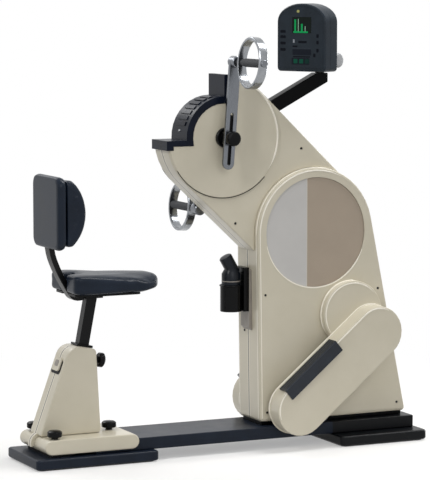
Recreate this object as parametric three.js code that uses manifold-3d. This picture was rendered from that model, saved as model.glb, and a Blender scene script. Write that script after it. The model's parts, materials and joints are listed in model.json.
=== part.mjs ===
// Arm ergometer with a seat on a rail: a flat base, a tall body whose neck carries the crank drum,
// two cranks with hand rings, a swivelling console, two footrests and an adjustable seat.
// Millimetres, +Z up. The seat is at -X, the body at +X, the near side at -Y, the floor at Z = 0.
import * as THREE from 'three';
import { mergeVertices } from 'three/addons/utils/BufferGeometryUtils.js';
import Module from 'manifold-3d';

const wasm = await Module();
wasm.setup();
const { Manifold, Mesh: SolidMesh } = wasm;

// Fits and facets
const SEAT_GAP = 0.3;
const OVERRUN = 6;
const CHORD_ERROR = 0.6;
const LEAST_ARC_STEPS = 2;
const LEAST_CIRCLE_STEPS = 12;
const INNER_CHORD_ERROR = 1.6;
const SOFT_EDGE = 4.5;
const BOSS_BEVEL = 3;

const CURVED_GAP = SEAT_GAP + CHORD_ERROR;
const INNER_CURVED_GAP = SEAT_GAP + INNER_CHORD_ERROR;

// Base
const OVERALL_LENGTH = 1518;
const SOLE_THICKNESS = 4;
const SOLE_INSET = 12;
const PLATE_THICKNESS = 35;
const PLATE_BEVEL = 6;
const PLATE_CORNER = 16;
const REAR_PLATE_LENGTH = 460;
const REAR_PLATE_HALF_WIDTH = 149;
const MAIN_FOOT_LENGTH = 355;
const MAIN_FOOT_HALF_WIDTH = 189;
const PLATE_TOP_WALL = 6;
const RAIL_REAR_INSET = 229;
const RAIL_FRONT_INSET = 20;
const RAIL_HEIGHT = 44;
const RAIL_HALF_WIDTH = 117;
const RAIL_BEVEL = 4;
const RAIL_WALL = 5;
const PLINTH_HEIGHT = 13;
const PLINTH_INSET = 12;

// Body covers
const BODY_CENTRE_X = 347;
const BODY_CENTRE_Z = 777;
const BODY_RADIUS = 234;
const BODY_FRONT_X = 123;
const BODY_REAR_X = 721;
const BODY_CORNER = 13;
const BODY_HALF_WIDTH = 88;
const BODY_EDGE = 10;
const SHELL_WALL = 4;
const PANEL_RADIUS = 199;
const PANEL_THICKNESS = 3;
const PANEL_RECESS = 3;
const PANEL_SEAT_MARGIN = 8;
const BELT_WINDOW_RADIUS = 72;
const BELT_WINDOW_HALF_WIDTH = 52;
const SCREW_RADIUS = 5;
const SCREW_HEAD = 2.4;
const BODY_SCREWS = [[145, 558], [153, 131], [604, 560], [686, 132]];
const NECK_SCREWS = [[38, 819], [301, 1080]];
const INLET_Z = 134;
const INLET_HALF_HEIGHT = 16;
const INLET_HALF_WIDTH = 24;
const INLET_DEPTH = 26;
const INLET_WALL = 4;
const INLET_PIN_RADIUS = 2.2;
const INLET_PIN_SPACING = 11;
const INLET_PIN_LENGTH = 12;

// Neck, drum and quarter cover
const HUB_X = -9;
const HUB_Z = 1128;
const DRUM_RADIUS = 219;
const NECK_HALF_WIDTH = 61;
const NECK_EDGE = 6;
const NECK_FOOT_RADIUS = 204;
const NECK_TOP_X = 474;
const NECK_TOP_Z = 915;
const NECK_TOP_RADIUS = 40;
const DRUM_DISC_RADIUS = 215;
const DRUM_DISC_RISE = 4;
const SHAFT_HOLE_RADIUS = 22;
const QUARTER_INNER_RADIUS = 122;
const QUARTER_OUTER_RADIUS = 147;
const QUARTER_HALF_WIDTH = 66;
const QUARTER_REACH = 223;
const TAB_THICKNESS = 20;
const TAB_DROP = 7;
const HOOK_LENGTH = 26;
const HOOK_DROP = 14;
const QUARTER_RIB_RISE = 3;
const QUARTER_RIB_HALF_WIDTH = 38;
const QUARTER_RIB_COUNT = 7;
const QUARTER_RIB_FIRST_DEG = 106;
const QUARTER_RIB_LAST_DEG = 160;
const QUARTER_RIB_DEG = 3;

// Steel frame and drive
const CHEEK_INNER_Y = 34;
const CHEEK_THICKNESS = 6;
const CHEEK_HALF_WIDTH = 45;
const CHEEK_BOSS_RADIUS = 36;
const CHEEK_BOSS_LENGTH = 9;
const SPINE_FOOT_THICKNESS = 10;
const SPINE_FOOT_MARGIN = 45;
const SPINE_TIE_HALF_WIDTH = 32;
const SPINE_TIE_SHARE = 0.45;
const SPINE_LOW_TIE_Z = 500;
const CRANKSHAFT_RADIUS = 12.5;
const BEARING_RADIUS = 26;
const BEARING_WIDTH = 11;
const RUNNING_GAP = 0.3;
const DRIVE_PULLEY_RADIUS = 95;
const DRIVE_PULLEY_BOSS_RADIUS = 26;
const DRIVE_PULLEY_HOLE_RADIUS = 20;
const DRIVE_PULLEY_HOLE_CIRCLE = 58;
const DRIVE_PULLEY_HOLES = 6;
const SMALL_PULLEY_RADIUS = 30;
const PULLEY_NEAR_Y = 8;
const PULLEY_WIDTH = 16;
const BELT_THICKNESS = 3;
const BELT_WIDTH = 13;
const AXLE_RADIUS = 10;
const FLYWHEEL_RADIUS = 150;
const FLYWHEEL_RIM = 26;
const FLYWHEEL_NEAR_Y = -30;
const FLYWHEEL_WIDTH = 26;
const FLYWHEEL_WEB = 10;
const YOKE_DEG = -22;
const YOKE_HALF_WIDTH = 30;
const YOKE_NEAR_Y = -46;
const YOKE_CLEARANCE = 3;
const YOKE_STRAP = 6;
const YOKE_STRAP_DROP = 130;
const YOKE_STRAP_RADIUS = 22;

// Cranks and hand rings
const CRANK_LEAN_DEG = 4.2;
const CRANK_RADIUS = 270;
const ARM_WIDTH = 43;
const ARM_THICKNESS = 13;
const ARM_INNER_Y = 104;
const ARM_TAIL = 111;
const SLOT_WIDTH = 13;
const SLOT_END_WALL = 15;
const SLOT_ABOVE_HUB = 84;
const HUB_DISC_RADIUS = 36;
const HUB_DISC_THICKNESS = 15;
const HUB_NECK_RADIUS = 21;
const HUB_BLOCK_DEPTH = 11;
const STUD_RADIUS = 5.5;
const STUD_LENGTH = 32;
const CLAMP_KNOB_RADIUS = 26.5;
const CLAMP_KNOB_SHOULDER = 15;
const CLAMP_KNOB_LENGTH = 38;
const BOSS_RADIUS = 21.5;
const BOSS_LENGTH = 46;
const RING_RADIUS = 91;
const RING_WALL = 10;
const RING_WIDTH = 32;
const RING_BEVEL = 2.5;
const RING_CENTRE_Y = 252;
const SPINDLE_RADIUS = 7;
const SPINDLE_CAP_RADIUS = 13;
const SPINDLE_CAP_LENGTH = 6;
const GRIP_RADIUS = 15;
const GRIP_NECK_RADIUS = 11;
const GRIP_TAPER = 26;

// Footrests
const FOOT_BOSS_X = 483;
const FOOT_BOSS_Z = 477;
const FOOT_BOSS_RADIUS = 120;
const FOOT_BOSS_DEPTH = 31;
const FOOT_BOSS_BEVEL = 6;
const FOOTREST_LOW_X = 240;
const FOOTREST_LOW_Z = 151;
const FOOTREST_HIGH_X = 553;
const FOOTREST_HIGH_Z = 412;
const FOOTREST_RADIUS = 95;
const FOOTREST_DEPTH = 74;
const FOOTREST_BEVEL = 5;
const FOOTREST_RIM_RISE = 3;
const FOOTREST_RIM_DEPTH = 9;
const TREAD_START = -6;
const TREAD_LENGTH = 262;
const TREAD_THICKNESS = 8;
const TREAD_TOP_WIDTH = 53;
const TREAD_SIDE_HEIGHT = 38;
const TREAD_GROOVE = 2.5;
const TREAD_GROOVES = 3;

// Console and its arm
const CONSOLE_AXIS_X = 405;
const CONSOLE_ARM_HALF = 22.5;
const CONSOLE_ARM_DEPTH = 50;
const CONSOLE_ARM_SLOPE_DEG = 27.5;
const CONSOLE_ARM_CLEARANCE = 7;
const CONSOLE_ARM_REACH = 225;
const CONSOLE_YAW_DEG = 25;
const TILT_AXIS_RISE = 39;
const CONSOLE_TOP_RISE = 472;
const CONSOLE_HEIGHT = 244;
const CONSOLE_HALF_WIDTH = 110;
const CONSOLE_DEPTH = 74;
const CONSOLE_STANDOFF = 37;
const CONSOLE_ARCH_RISE = 65;
const CONSOLE_CORNER = 14;
const CONSOLE_EDGE = 4;
const CONSOLE_WALL = 4;
const CONSOLE_SPLIT_DEPTH = 30;
const OVERLAY_MARGIN = 11;
const OVERLAY_THICKNESS = 1.5;
const LENS_LEFT_Y = -40;
const LENS_RIGHT_Y = 46;
const LENS_TOP_DROP = 49;
const LENS_HEIGHT = 57;
const POST_RADIUS = 17;
const BARREL_RADIUS = 15;
const BARREL_HALF_LENGTH = 48;
const LUG_THICKNESS = 9;
const BOLT_RADIUS = 6;
const BOLT_HEAD_RADIUS = 11;
const BOLT_HEAD_LENGTH = 6;
const TILT_KNOB_RADIUS = 26.5;
const TILT_KNOB_LENGTH = 26;
const TILT_KNOB_SHOULDER = 14;
const TILT_KNOB_STEM = 8;

// Bottle and holder
const BOTTLE_PLATE_LOW_Z = 426;
const BOTTLE_PLATE_HIGH_Z = 648;
const BOTTLE_PLATE_HALF_WIDTH = 34;
const BOTTLE_PLATE_PROUD = 8;
const BOTTLE_PLATE_CHAMFER = 12;
const HOLDER_LOW_Z = 496;
const HOLDER_RIM_Z = 593;
const HOLDER_BACK_Z = 655;
const HOLDER_RADIUS = 39;
const HOLDER_WALL = 3;
const HOLDER_BACK_HALF_WIDTH = 34;
const HOLDER_BACK_THICKNESS = 20;
const HOLDER_LIP = 3;
const HOLDER_LIP_HEIGHT = 6;
const BOTTLE_RADIUS = 34;
const BOTTLE_NECK_RADIUS = 21;
const BOTTLE_SHOULDER_Z = 632;
const BOTTLE_WAIST_Z = 606;
const BOTTLE_WAIST_DEPTH = 3;
const BOTTLE_SHOULDER_HEIGHT = 22;
const BOTTLE_CAP_LEAN_DEG = -30;
const BOTTLE_CAP_LENGTH = 50;
const BOTTLE_CAP_RADIUS = 24;

// Seat carriage
const SADDLE_REAR_INSET = 39;
const SADDLE_REAR_X = -720;
const SADDLE_FRONT_X = -366;
const SADDLE_HALF_WIDTH = 128;
const SADDLE_DROP = 35;
const SADDLE_WALL = 6;
const SADDLE_BEVEL = 6;
const SADDLE_SIDE_GAP = 2;
const RUNNER_LENGTH = 38;
const GLIDE_THICKNESS = 3;
const FRAME_PLATE_THICKNESS = 8;
const KNOB_REAR_X = -675;
const KNOB_REAR_Y = 99;
const KNOB_FRONT_X = -430;
const KNOB_RADIUS = 26;
const KNOB_HEIGHT = 31;
const KNOB_STEM_RADIUS = 12;
const KNOB_STEM_HEIGHT = 7;
const KNOB_SCREW_RADIUS = 5;
const PEDESTAL_FOOT_REAR_X = -708;
const PEDESTAL_FOOT_FRONT_X = -481;
const PEDESTAL_FOOT_CORNER = 9;
const PEDESTAL_BACK_X = -565.2;
const PEDESTAL_BACK_Z = 363;
const PEDESTAL_BACK_RADIUS = 48;
const PEDESTAL_NOSE_X = -511.2;
const PEDESTAL_NOSE_Z = 386.2;
const PEDESTAL_NOSE_RADIUS = 15;
const PEDESTAL_TONGUE_RADIUS = 38;
const PEDESTAL_TONGUE_HALF_WIDTH = 16;
const PEDESTAL_TONGUE_FIRST_DEG = 80;
const PEDESTAL_TONGUE_LAST_DEG = 197;
const PEDESTAL_HALF_WIDTH = 53;
const PEDESTAL_EDGE = 7;

// Seat post, seat and backrest
const POST_FOOT_X = -591;
const POST_LEAN_DEG = 10.9;
const POST_WIDTH = 38;
const POST_WALL = 3;
const POST_INSERTION = 215;
const SLEEVE_GAP = 0.5;
const SLEEVE_WALL = 6;
const SLEEVE_TOP = 299;
const COLLAR_WIDTH = 60;
const COLLAR_THICKNESS = 8;
const COLLAR_PLANE = 309.6;
const HEIGHT_KNOB_LEVEL = 270;
const HEIGHT_KNOB_STANDOFF = 62;
const SEAT_BOTTOM_Z = 591;
const SEAT_PAN_THICKNESS = 8;
const SEAT_REAR_X = -608;
const SEAT_FRONT_X = -253;
const SEAT_HALF_WIDTH = 130;
const SEAT_NOSE_RADIUS = 96;
const SEAT_REAR_CORNER = 24;
const SEAT_HEIGHT = 69;
const SEAT_DISH = 9;
const SEAT_NOSE_DROP = 16;
const SEAT_NOSE_LIFT = 12;
const SEAT_NOSE_START_SHARE = 0.55;
const SEAT_THIGH_DROP = 30;
const SEAT_THIGH_START_SHARE = 0.42;
const SEAT_THIGH_RUN_SHARE = 0.42;
const SEAT_PAN_REAR_X = -592;
const SEAT_PAN_FRONT_X = -345;
const SEAT_PAN_HALF_WIDTH = 104;
const SEAT_PAN_CORNER = 20;
const SEAT_SOCKET_DEPTH = 15;
const SEAT_SOCKET_MARGIN = 14;
const SEAT_NOTCH_DEPTH = 50;
const SEAT_OUTLINE_STEPS = 9;
const BACK_BAR_HALF_WIDTH = 23;
const BACK_BAR_THICKNESS = 20;
const BACK_BAR_RUN = 34;
const BACK_BAR_BENDS = [[-586, 606], [-628, 684]];
const BACK_BAR_INSERTION = 100;
const BACK_BAR_STEPS = 20;
const BACKREST_BOTTOM_Z = 756;
const BACKREST_TOP_Z = 1010;
const BACKREST_HALF_WIDTH = 124;
const BACKREST_REAR_X = -668;
const BACKREST_BOARD = 35;
const BACKREST_BOARD_BEVEL = 14;
const BACKREST_CORNER = 34;
const BACKREST_PAD_EDGE = 22;
const BACKREST_PAD_BULGE = 50;
const BACKREST_PAD_MARGIN = 6;
const SEAT_LEVEL_SHARES = [[0, 0], [0.94, 0], [0.985, 0.06], [1, 0.22], [0.99, 0.48], [1, 0.74], [0.985, 0.89],
  [0.95, 0.97], [0.82, 1], [0.42, 1], [0, 1]];
const BACKREST_WIDTH_SHARES = [[0, 0], [0.86, 0], [0.965, 0.02], [0.995, 0.07], [1, 0.16], [0.988, 0.5], [1, 0.84],
  [0.995, 0.93], [0.965, 0.98], [0.86, 1], [0, 1]];

// Finishes
function finish(colour, roughness, metalness = 0) {
  return () => new THREE.MeshStandardMaterial({ color: colour, roughness, metalness });
}
const navyPaint = finish('#252c3a', 0.45);
const creamShell = finish('#c3bba6', 0.4);
const blackPlastic = finish('#17181b', 0.4);
const slatePlastic = finish('#2c323e', 0.42);
const panelGraphic = finish('#a39a8c', 0.45);
const steel = finish('#8d9095', 0.4, 1);
const chrome = finish('#c9ccd0', 0.15, 1);
const castIron = finish('#4b4d50', 0.6, 1);
const rubber = finish('#1d1e20', 0.85);
const greyPlastic = finish('#9a9c9e', 0.45);
const gripFoam = finish('#4d4f53', 0.7);
const vinyl = finish('#323a46', 0.5);
const lensGlass = finish('#12352c', 0.1);

// Solids from three.js geometry
function solid(geometry) {
  const bare = geometry.clone();
  bare.deleteAttribute('normal');
  bare.deleteAttribute('uv');
  const merged = mergeVertices(bare);
  const corners = merged.index.array;
  const kept = [];
  for (let i = 0; i < corners.length; i += 3) {
    const [a, b, c] = [corners[i], corners[i + 1], corners[i + 2]];
    if (a !== b && b !== c && c !== a) kept.push(a, b, c);
  }
  const points = new Float32Array(merged.attributes.position.array);
  if (signedVolume(points, kept) < 0) kept.reverse();
  return new Manifold(new SolidMesh({ numProp: 3, vertProperties: points, triVerts: new Uint32Array(kept) }));
}

function signedVolume(points, corners) {
  const at = (i) => new THREE.Vector3().fromArray(points, 3 * corners[i]);
  let total = 0;
  for (let i = 0; i < corners.length; i += 3) total += at(i).dot(at(i + 1).cross(at(i + 2)));
  return total;
}

function geometryOf(body) {
  const mesh = body.getMesh();
  const geometry = new THREE.BufferGeometry();
  geometry.setAttribute('position', new THREE.BufferAttribute(new Float32Array(mesh.vertProperties), 3));
  geometry.setIndex(new THREE.BufferAttribute(new Uint32Array(mesh.triVerts), 1));
  return geometry;
}

function union(...bodies) {
  return bodies.reduce((all, body) => all.add(body));
}

function cut(body, ...tools) {
  return tools.reduce((rest, tool) => rest.subtract(tool), body);
}

// Places: a Y-axis turn by deg tips +Z towards +X
function tipped(x, z, deg) {
  const turn = new THREE.Matrix4().makeRotationY(THREE.MathUtils.degToRad(deg));
  return new THREE.Matrix4().makeTranslation(x, 0, z).multiply(turn);
}

function placed(body, matrix) {
  const geometry = geometryOf(body);
  geometry.applyMatrix4(matrix);
  return solid(geometry);
}

// Outlines are lists of Vector2, counter-clockwise; pieces inside the covers get coarser curves
let chordError = CHORD_ERROR;

function arc(x, y, radius, from, to) {
  const largest = 2 * Math.acos(1 - Math.min(chordError / radius, 1 / 2));
  const steps = Math.max(LEAST_ARC_STEPS, Math.ceil(Math.abs(to - from) / largest));
  return Array.from({ length: steps + 1 }, (_, i) => {
    const angle = from + (to - from) * i / steps;
    return new THREE.Vector2(x + radius * Math.cos(angle), y + radius * Math.sin(angle));
  });
}

function circle(x, y, radius) {
  const largest = 2 * Math.acos(1 - Math.min(chordError / radius, 1 / 2));
  const steps = Math.max(LEAST_CIRCLE_STEPS, 2 * Math.ceil(Math.PI / largest));
  return Array.from({ length: steps }, (_, i) => {
    const angle = 2 * Math.PI * i / steps;
    return new THREE.Vector2(x + radius * Math.cos(angle), y + radius * Math.sin(angle));
  });
}

function belt(circles) {
  const normals = circles.map(([x, y, r], i) => {
    const [nextX, nextY, nextR] = circles[(i + 1) % circles.length];
    const along = Math.atan2(nextY - y, nextX - x);
    return along - Math.acos((r - nextR) / Math.hypot(nextX - x, nextY - y));
  });
  return circles.flatMap(([x, y, r], i) => {
    const from = normals[(i + circles.length - 1) % circles.length];
    let to = normals[i];
    while (to < from) to += 2 * Math.PI;
    while (to > from + 2 * Math.PI) to -= 2 * Math.PI;
    return arc(x, y, r, from, to);
  });
}

function rectangle(left, bottom, right, top, corner = 0) {
  if (corner > 0) {
    return belt([[left + corner, bottom + corner, corner], [right - corner, bottom + corner, corner],
      [right - corner, top - corner, corner], [left + corner, top - corner, corner]]);
  }
  return [[left, bottom], [right, bottom], [right, top], [left, top]].map(([x, y]) => new THREE.Vector2(x, y));
}

const RUNS = {
  x: new THREE.Matrix4().makeBasis(
    new THREE.Vector3(0, 1, 0), new THREE.Vector3(0, 0, 1), new THREE.Vector3(1, 0, 0)),
  y: new THREE.Matrix4().makeBasis(
    new THREE.Vector3(1, 0, 0), new THREE.Vector3(0, 0, 1), new THREE.Vector3(0, -1, 0)),
  z: new THREE.Matrix4(),
};

// A slab of an outline that runs along one axis: its outline is (y, z), (x, z) or (x, y)
function slab(axis, outline, from, to, bevel = 0) {
  const [low, high] = from < to ? [from, to] : [to, from];
  const geometry = new THREE.ExtrudeGeometry(new THREE.Shape(outline), {
    depth: high - low - 2 * bevel,
    bevelEnabled: bevel > 0,
    bevelThickness: bevel,
    bevelSize: bevel,
    bevelOffset: -bevel,
    bevelSegments: bevel > SOFT_EDGE ? 2 : 1,
  });
  geometry.translate(0, 0, (axis === 'y' ? -high : low) + bevel);
  geometry.applyMatrix4(RUNS[axis]);
  return solid(geometry);
}

function rod(axis, x, y, radius, from, to, bevel = 0) {
  return slab(axis, circle(x, y, radius), from, to, bevel);
}

// A hole's flats, not its corners, touch its radius, so a rod of that radius turns in it
function hole(axis, x, y, radius, from, to) {
  const flats = circle(x, y, radius).length;
  return slab(axis, circle(x, y, radius / Math.cos(Math.PI / flats)), from, to);
}

function block(x0, x1, y0, y1, z0, z1) {
  return slab('z', rectangle(x0, y0, x1, y1), z0, z1);
}

// A turned piece: (radius, distance) pairs along an axis through (x, y) of that axis' outline plane
function turned(axis, x, y, profile) {
  const largest = Math.max(...profile.map(([radius]) => radius));
  const steps = circle(0, 0, largest).length;
  const points = profile.map(([radius, along]) => new THREE.Vector2(radius, along));
  const geometry = new THREE.LatheGeometry(points, steps);
  geometry.rotateX(Math.PI / 2);
  geometry.translate(x, y, 0);
  const run = RUNS[axis].clone();
  if (axis === 'y') geometry.scale(1, 1, -1);
  geometry.applyMatrix4(run);
  return solid(geometry);
}

// A padded form: rings of one outline, each drawn in by its share and lifted to its level
function padded(outline, centre, levels, lift) {
  const count = outline.length;
  const rings = levels.filter(([share]) => share > 0);
  const points = [lift(centre.x, centre.y, levels[0][1])];
  for (const [share, level] of rings) {
    for (const point of outline) {
      const moved = centre.clone().lerp(point, share);
      points.push(lift(moved.x, moved.y, level));
    }
  }
  points.push(lift(centre.x, centre.y, levels[levels.length - 1][1]));
  const corners = [];
  const ring = (row, i) => 1 + row * count + i % count;
  for (let i = 0; i < count; i++) {
    corners.push(0, ring(0, i + 1), ring(0, i));
    for (let row = 0; row + 1 < rings.length; row++) {
      corners.push(ring(row, i), ring(row, i + 1), ring(row + 1, i + 1));
      corners.push(ring(row, i), ring(row + 1, i + 1), ring(row + 1, i));
    }
    corners.push(points.length - 1, ring(rings.length - 1, i), ring(rings.length - 1, i + 1));
  }
  const geometry = new THREE.BufferGeometry().setFromPoints(points);
  geometry.setIndex(corners);
  return solid(geometry);
}

// Group and naming
const ergometer = new THREE.Group();

function piece(name, body, material, shiftX = 0) {
  const mesh = new THREE.Mesh(geometryOf(body).translate(shiftX, 0, 0), material());
  mesh.name = name;
  ergometer.add(mesh);
}

const SIDES = [['near', -1], ['far', 1]];

// Levels that the pieces share
const plateTop = SOLE_THICKNESS + SEAT_GAP + PLATE_THICKNESS;
const railBottom = plateTop + SEAT_GAP;
const railTop = railBottom + RAIL_HEIGHT;
const plinthTop = railTop + SEAT_GAP + PLINTH_HEIGHT;
const bodyBottom = plinthTop + SEAT_GAP;
const rearPlateStart = -OVERALL_LENGTH / 2;
const mainFootEnd = OVERALL_LENGTH / 2;
const consoleTop = HUB_Z + CONSOLE_TOP_RISE;
const consoleBottom = consoleTop - CONSOLE_HEIGHT;
const consoleArmTop = consoleBottom - CONSOLE_ARM_CLEARANCE;
const tiltAxisZ = consoleBottom + TILT_AXIS_RISE;
const lensTop = consoleTop - LENS_TOP_DROP;
const lensBottom = lensTop - LENS_HEIGHT;

// Base: pressed plates, open below, and a box rail that ends under the carriage
function basePlate(x0, x1, halfWidth) {
  const outline = rectangle(x0, -halfWidth, x1, halfWidth, PLATE_CORNER);
  const rim = 2 * SOLE_INSET;
  const hollow = block(x0 + rim, x1 - rim, rim - halfWidth, halfWidth - rim, 0, plateTop - PLATE_TOP_WALL);
  return cut(slab('z', outline, SOLE_THICKNESS + SEAT_GAP, plateTop, PLATE_BEVEL), hollow);
}

function base() {
  const rearPlateEnd = rearPlateStart + REAR_PLATE_LENGTH;
  const mainFootStart = mainFootEnd - MAIN_FOOT_LENGTH;
  piece('rear_plate', basePlate(rearPlateStart, rearPlateEnd, REAR_PLATE_HALF_WIDTH), navyPaint);
  piece('main_foot', basePlate(mainFootStart, mainFootEnd, MAIN_FOOT_HALF_WIDTH), navyPaint);

  for (const [name, x0, x1, halfWidth] of [['rear_sole', rearPlateStart, rearPlateEnd, REAR_PLATE_HALF_WIDTH],
    ['main_sole', mainFootStart, mainFootEnd, MAIN_FOOT_HALF_WIDTH]]) {
    piece(name, slab('z', rectangle(x0 + SOLE_INSET, SOLE_INSET - halfWidth, x1 - SOLE_INSET,
      halfWidth - SOLE_INSET, PLATE_CORNER), 0, SOLE_THICKNESS), rubber);
  }

  const railStart = rearPlateStart + RAIL_REAR_INSET;
  const railEnd = mainFootEnd - RAIL_FRONT_INSET;
  const beam = slab('x', rectangle(-RAIL_HALF_WIDTH, railBottom, RAIL_HALF_WIDTH, railTop, RAIL_BEVEL),
    railStart, railEnd);
  const inside = block(railStart - OVERRUN, railEnd - RAIL_WALL, RAIL_WALL - RAIL_HALF_WIDTH,
    RAIL_HALF_WIDTH - RAIL_WALL, railBottom + RAIL_WALL, railTop - RAIL_WALL);
  piece('rail_beam', cut(beam, inside), navyPaint);

  piece('plinth', block(BODY_FRONT_X + PLINTH_INSET, BODY_REAR_X - PLINTH_INSET, PLINTH_INSET - BODY_HALF_WIDTH,
    BODY_HALF_WIDTH - PLINTH_INSET, railTop + SEAT_GAP, plinthTop), blackPlastic);
}

// Body covers, side panels, screws and mains inlet
function bodyOutline(inset) {
  const corner = BODY_CORNER - inset;
  return belt([[BODY_FRONT_X + BODY_CORNER, bodyBottom + BODY_CORNER, corner],
    [BODY_REAR_X - BODY_CORNER, bodyBottom + BODY_CORNER, corner],
    [BODY_CENTRE_X, BODY_CENTRE_Z, BODY_RADIUS - inset]]);
}

function sideHalf(side) {
  const reach = OVERALL_LENGTH;
  return slab('y', rectangle(-reach, 0, reach, 2 * reach), side * SEAT_GAP / 2, side * reach);
}

function beltWindow() {
  const outline = belt([[HUB_X, HUB_Z, BELT_WINDOW_RADIUS], [BODY_CENTRE_X, BODY_CENTRE_Z, BELT_WINDOW_RADIUS]]);
  return slab('y', outline, -BELT_WINDOW_HALF_WIDTH, BELT_WINDOW_HALF_WIDTH);
}

function spineFoot(margin) {
  const half = CHEEK_HALF_WIDTH + SPINE_FOOT_MARGIN + margin;
  const halfY = CHEEK_INNER_Y + CHEEK_THICKNESS + margin;
  return block(BODY_CENTRE_X - half, BODY_CENTRE_X + half, -halfY, halfY,
    bodyBottom - (margin > 0 ? OVERRUN : 0), bodyBottom + SPINE_FOOT_THICKNESS);
}

const bodyScrewPlaces = BODY_SCREWS.map(([x, z]) => [x, z, BODY_HALF_WIDTH]);
const neckScrewPlaces = NECK_SCREWS.map(([x, z]) => [x, z, NECK_HALF_WIDTH]);

function screwSeats(places, side) {
  return places.map(([x, z, face]) =>
    hole('y', x, z, SCREW_RADIUS + SEAT_GAP, side * (face - SCREW_HEAD - SEAT_GAP), side * (face + OVERRUN)));
}

function inletBlock(margin, depth) {
  return block(BODY_REAR_X - depth - margin, BODY_REAR_X + OVERRUN, -INLET_HALF_WIDTH - margin,
    INLET_HALF_WIDTH + margin, INLET_Z - INLET_HALF_HEIGHT - margin, INLET_Z + INLET_HALF_HEIGHT + margin);
}

function bodyCovers() {
  const outer = slab('y', bodyOutline(0), -BODY_HALF_WIDTH, BODY_HALF_WIDTH, BODY_EDGE);
  const innerHalf = BODY_HALF_WIDTH - SHELL_WALL;
  const panelFace = BODY_HALF_WIDTH - PANEL_RECESS;
  const panelBack = panelFace - PANEL_THICKNESS;
  const recessFloor = panelBack - SEAT_GAP;
  let hollow = slab('y', bodyOutline(SHELL_WALL), -innerHalf, innerHalf, SHELL_WALL);
  for (const [, side] of SIDES) {
    hollow = cut(hollow, rod('y', BODY_CENTRE_X, BODY_CENTRE_Z, PANEL_RADIUS + PANEL_SEAT_MARGIN,
      side * (recessFloor - SHELL_WALL), side * (innerHalf + OVERRUN)));
  }
  const shell = cut(outer, hollow, beltWindow(), spineFoot(SEAT_GAP), inletBlock(SEAT_GAP, INLET_DEPTH));
  for (const [name, side] of SIDES) {
    const recess = hole('y', BODY_CENTRE_X, BODY_CENTRE_Z, PANEL_RADIUS + SEAT_GAP,
      side * recessFloor, side * (BODY_HALF_WIDTH + OVERRUN));
    const half = shell.intersect(sideHalf(side));
    piece(`body_shell_${name}`, cut(half, recess, ...screwSeats(bodyScrewPlaces, side)), creamShell);
    piece(`side_panel_${name}`, rod('y', BODY_CENTRE_X, BODY_CENTRE_Z, PANEL_RADIUS,
      side * panelBack, side * panelFace), panelGraphic);
  }

  const inlet = inletBlock(0, INLET_DEPTH).intersect(outer);
  const mouth = inletBlock(-INLET_WALL, INLET_DEPTH);
  const pins = [-1, 0, 1].map((i) => slab('x',
    circle(i * INLET_PIN_SPACING, INLET_Z, INLET_PIN_RADIUS),
    BODY_REAR_X - INLET_DEPTH, BODY_REAR_X - INLET_DEPTH + INLET_WALL + INLET_PIN_LENGTH));
  piece('power_inlet', union(cut(inlet, mouth), ...pins), blackPlastic);
}

// Neck with its drum, and the quarter cover
function neckOutline(inset) {
  return belt([[HUB_X, HUB_Z, DRUM_RADIUS - inset], [BODY_CENTRE_X, BODY_CENTRE_Z, NECK_FOOT_RADIUS - inset],
    [NECK_TOP_X, NECK_TOP_Z, NECK_TOP_RADIUS - inset]]);
}

const tabTop = HUB_Z - TAB_DROP;
const tabBottom = tabTop - TAB_THICKNESS;
const uprightLeft = HUB_X;
const uprightRight = HUB_X + TAB_THICKNESS;

function quarterCut() {
  const reach = 2 * DRUM_RADIUS;
  const corner = block(HUB_X - reach, uprightRight + SEAT_GAP, -reach, reach, tabBottom - SEAT_GAP, HUB_Z + reach);
  const core = rod('y', HUB_X, HUB_Z, QUARTER_INNER_RADIUS - CURVED_GAP, -reach - OVERRUN, reach + OVERRUN);
  const hook = block(HUB_X - reach, HUB_X - QUARTER_REACH + HOOK_LENGTH + SEAT_GAP, -reach, reach,
    tabBottom - HOOK_DROP - SEAT_GAP, HUB_Z);
  return union(cut(corner, core), hook);
}

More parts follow.
